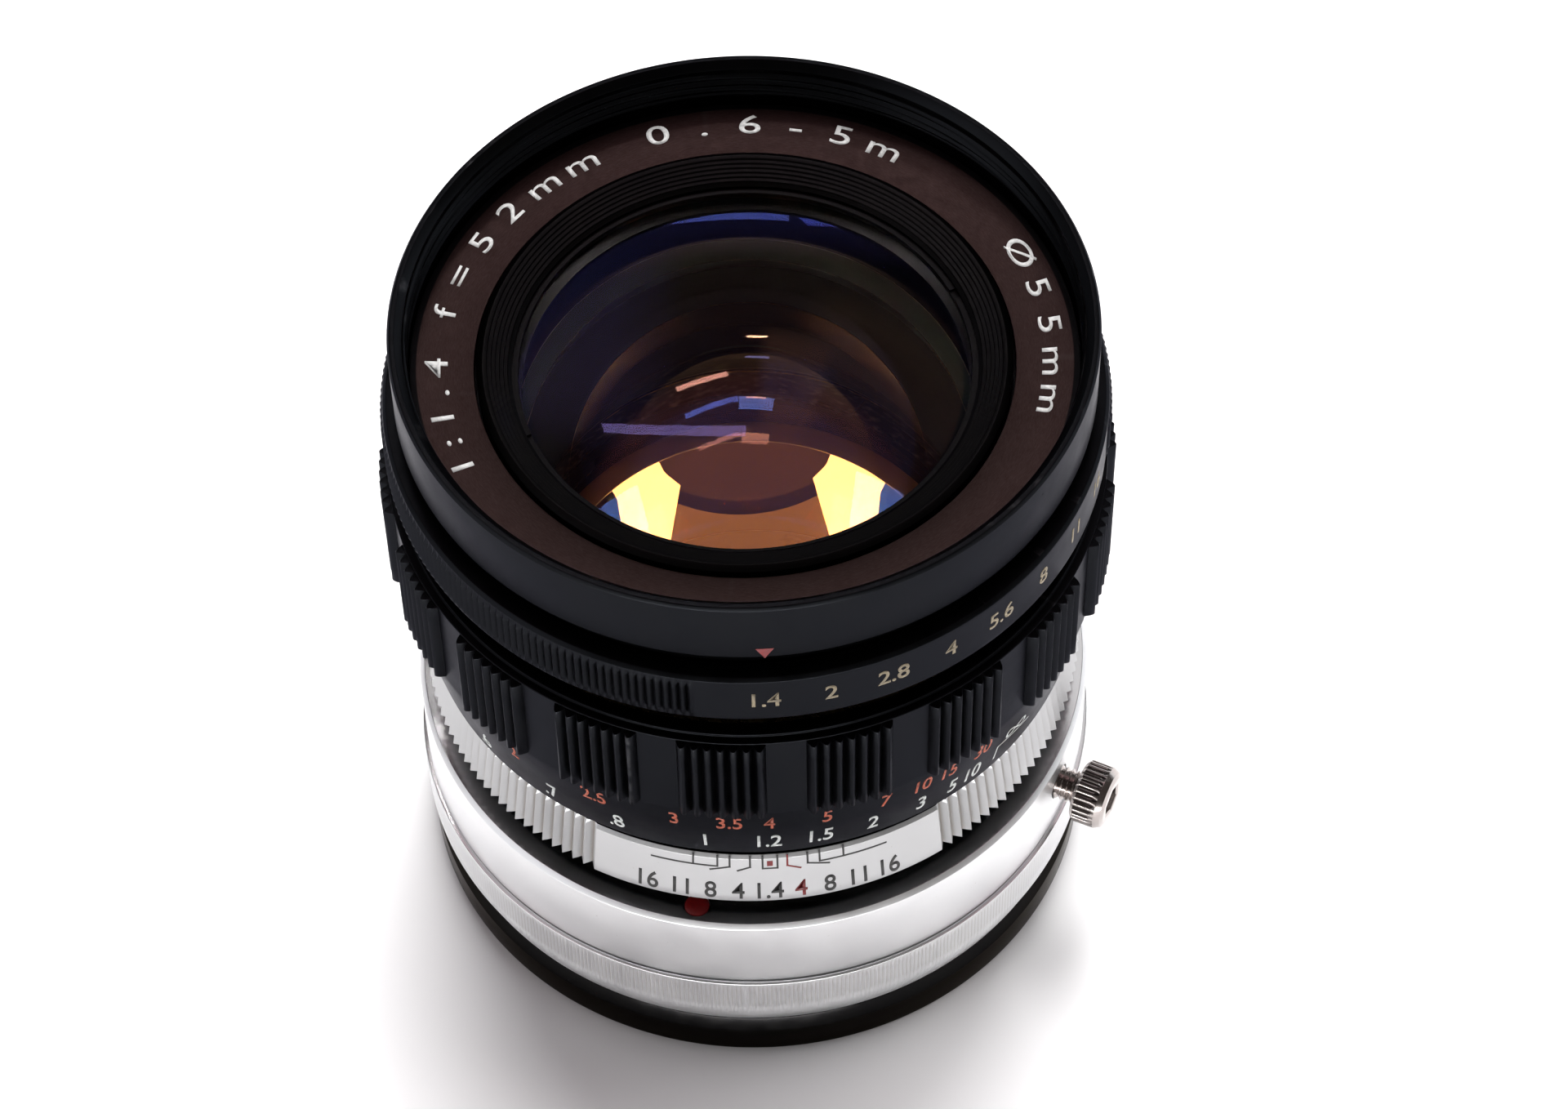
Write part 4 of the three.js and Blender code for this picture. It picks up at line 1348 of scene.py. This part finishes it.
def sky():
    """A dim room with a white sweep at the horizon and lighter places on its walls."""
    world = bpy.data.worlds.new("studio")
    bpy.context.scene.world = world
    world.use_nodes = True
    n = Nodes(world.node_tree)
    x, y, z = n.parts(n.add("ShaderNodeTexCoord").outputs["Generated"])
    azimuth = n.math("DEGREES", n.math("ARCTAN2", y, x))
    elevation = n.math("DEGREES", n.math("ARCSINE", z))
    horizon = n.ramp(elevation, 4, 16, 1.0, 0.0)
    colour = n.blend(horizon, rgb(0.085, 0.075, 0.07), rgb(1.0, 1.0, 1.0))
    for turn, up, half_width, half_height, soft, light in WALLS:
        aside = n.math("ABSOLUTE", n.math("WRAP", n.math("SUBTRACT", azimuth, turn), 180.0, -180.0))
        above = n.apart(elevation, up)
        across = n.ramp(aside, half_width, half_width + soft, 1.0, 0.0)
        upright = n.ramp(above, half_height, half_height + soft, 1.0, 0.0)
        colour = n.blend(n.times(across, upright), colour, rgb(*light))
    n.set(n.tree.nodes["Background"].inputs["Color"], colour)


def lamp(name, kind, power, place, seen_by, **settings):
    """A lamp at a place that shines at the middle of the lens, seen by some kinds of ray."""
    data = bpy.data.lights.new(name, kind)
    data.energy = power
    for key, value in settings.items():
        setattr(data, key, value)
    light = bpy.data.objects.new(name, data)
    light.location = place
    aim = Vector((0, 0, high("front_barrel") / 2)) - Vector(place)
    light.rotation_mode = "QUATERNION"
    light.rotation_quaternion = aim.to_track_quat("-Z", "Y")
    for kind_of_ray in ("diffuse", "glossy", "transmission"):
        setattr(light, f"visible_{kind_of_ray}", kind_of_ray in seen_by)
    bpy.context.scene.collection.objects.link(light)


def towards(azimuth, elevation, distance=0.8):
    """A place at a distance from the front of the lens."""
    turn, up = math.radians(azimuth), math.radians(elevation)
    level = distance * math.cos(up)
    rise = high("front_barrel") + distance * math.sin(up)
    return (level * math.cos(turn), level * math.sin(turn), rise)


INNER_LIGHTS = [  # lamps that only the inner glass mirrors: azimuth, elevation, power, width, height
    ("window_right", -5, 56, 9, 0.48, 0.26, (1.0, 0.98, 0.95)),
    ("window_left", -175, 56, 9, 0.48, 0.26, (1.0, 0.98, 0.95)),
    ("skylight", 103, 60, 0.7, 0.16, 0.022, (0.75, 0.75, 1.0)),
    ("bulb", 84, 61, 7.0, 0.10, 0.05, (1.0, 0.98, 1.0)),
    ("spot_inside", 85, 48, 0.3, 0.06, 0.008, (1.0, 1.0, 1.0)),
    ("near_panel", -90, 62, 0.15, 0.9, 0.26, (1.0, 0.82, 0.66)),
    ("far_panel", -90, 82, 0.62, 0.9, 0.20, (1.0, 0.82, 0.66)),
]


MIRRORED_LIGHTS = [  # lamps that only outer surfaces mirror: power, place, width, height
    ("strip", 7.5, (-0.12, -0.9, 0.03), 1.0, 0.05),
    ("tube", 0.3, towards(104, 59), 0.14, 0.018),
    ("spot", 0.14, towards(85, 49), 0.05, 0.007),
]


def lights():
    """An overcast daylight that lights the floor, windows and lamps that the glass mirrors."""
    lamp("daylight", "SUN", 4.2, (0.03, 0.44, 1.0), ("diffuse",), angle=math.radians(28))
    lamp("side_daylight", "SUN", 1.7, (0.36, 0.36, 1.0), ("diffuse",), angle=math.radians(40))
    for name, azimuth, elevation, power, width, height, colour in INNER_LIGHTS:
        lamp(name, "AREA", power, towards(azimuth, elevation), ("transmission",), color=colour,
             shape="RECTANGLE", size=width, size_y=height)
    for name, power, place, width, height in MIRRORED_LIGHTS:
        lamp(name, "AREA", power, place, ("glossy",), shape="RECTANGLE", size=width, size_y=height)


CAMERA = {"place": (-0.00703, -0.23124, 0.34848), "down": 53.742, "yaw": 2.447, "roll": -1.0985,
          "lens": 104.94, "sensor": 36.0}


def camera():
    """The viewpoint, looking down at the lens from in front of its index line."""
    down, yaw, roll = (math.radians(CAMERA[key]) for key in ("down", "yaw", "roll"))
    ahead = Vector((math.sin(yaw) * math.cos(down), math.cos(yaw) * math.cos(down), -math.sin(down)))
    right = Vector((math.cos(yaw), -math.sin(yaw), 0))
    up = right.cross(ahead)
    turned_right = math.cos(roll) * right + math.sin(roll) * up
    turned_up = math.cos(roll) * up - math.sin(roll) * right
    data = bpy.data.cameras.new("camera")
    data.sensor_width = CAMERA["sensor"]
    data.lens = CAMERA["lens"]
    data.clip_start, data.clip_end = 0.01, 20
    viewpoint = bpy.data.objects.new("camera", data)
    axes = Matrix((turned_right, turned_up, -ahead)).transposed().to_4x4()
    viewpoint.matrix_world = Matrix.Translation(CAMERA["place"]) @ axes
    bpy.context.scene.collection.objects.link(viewpoint)
    bpy.context.scene.camera = viewpoint


build_lens()
floor()
sky()
lights()
camera()
bpy.context.scene.view_settings.view_transform = "Standard"
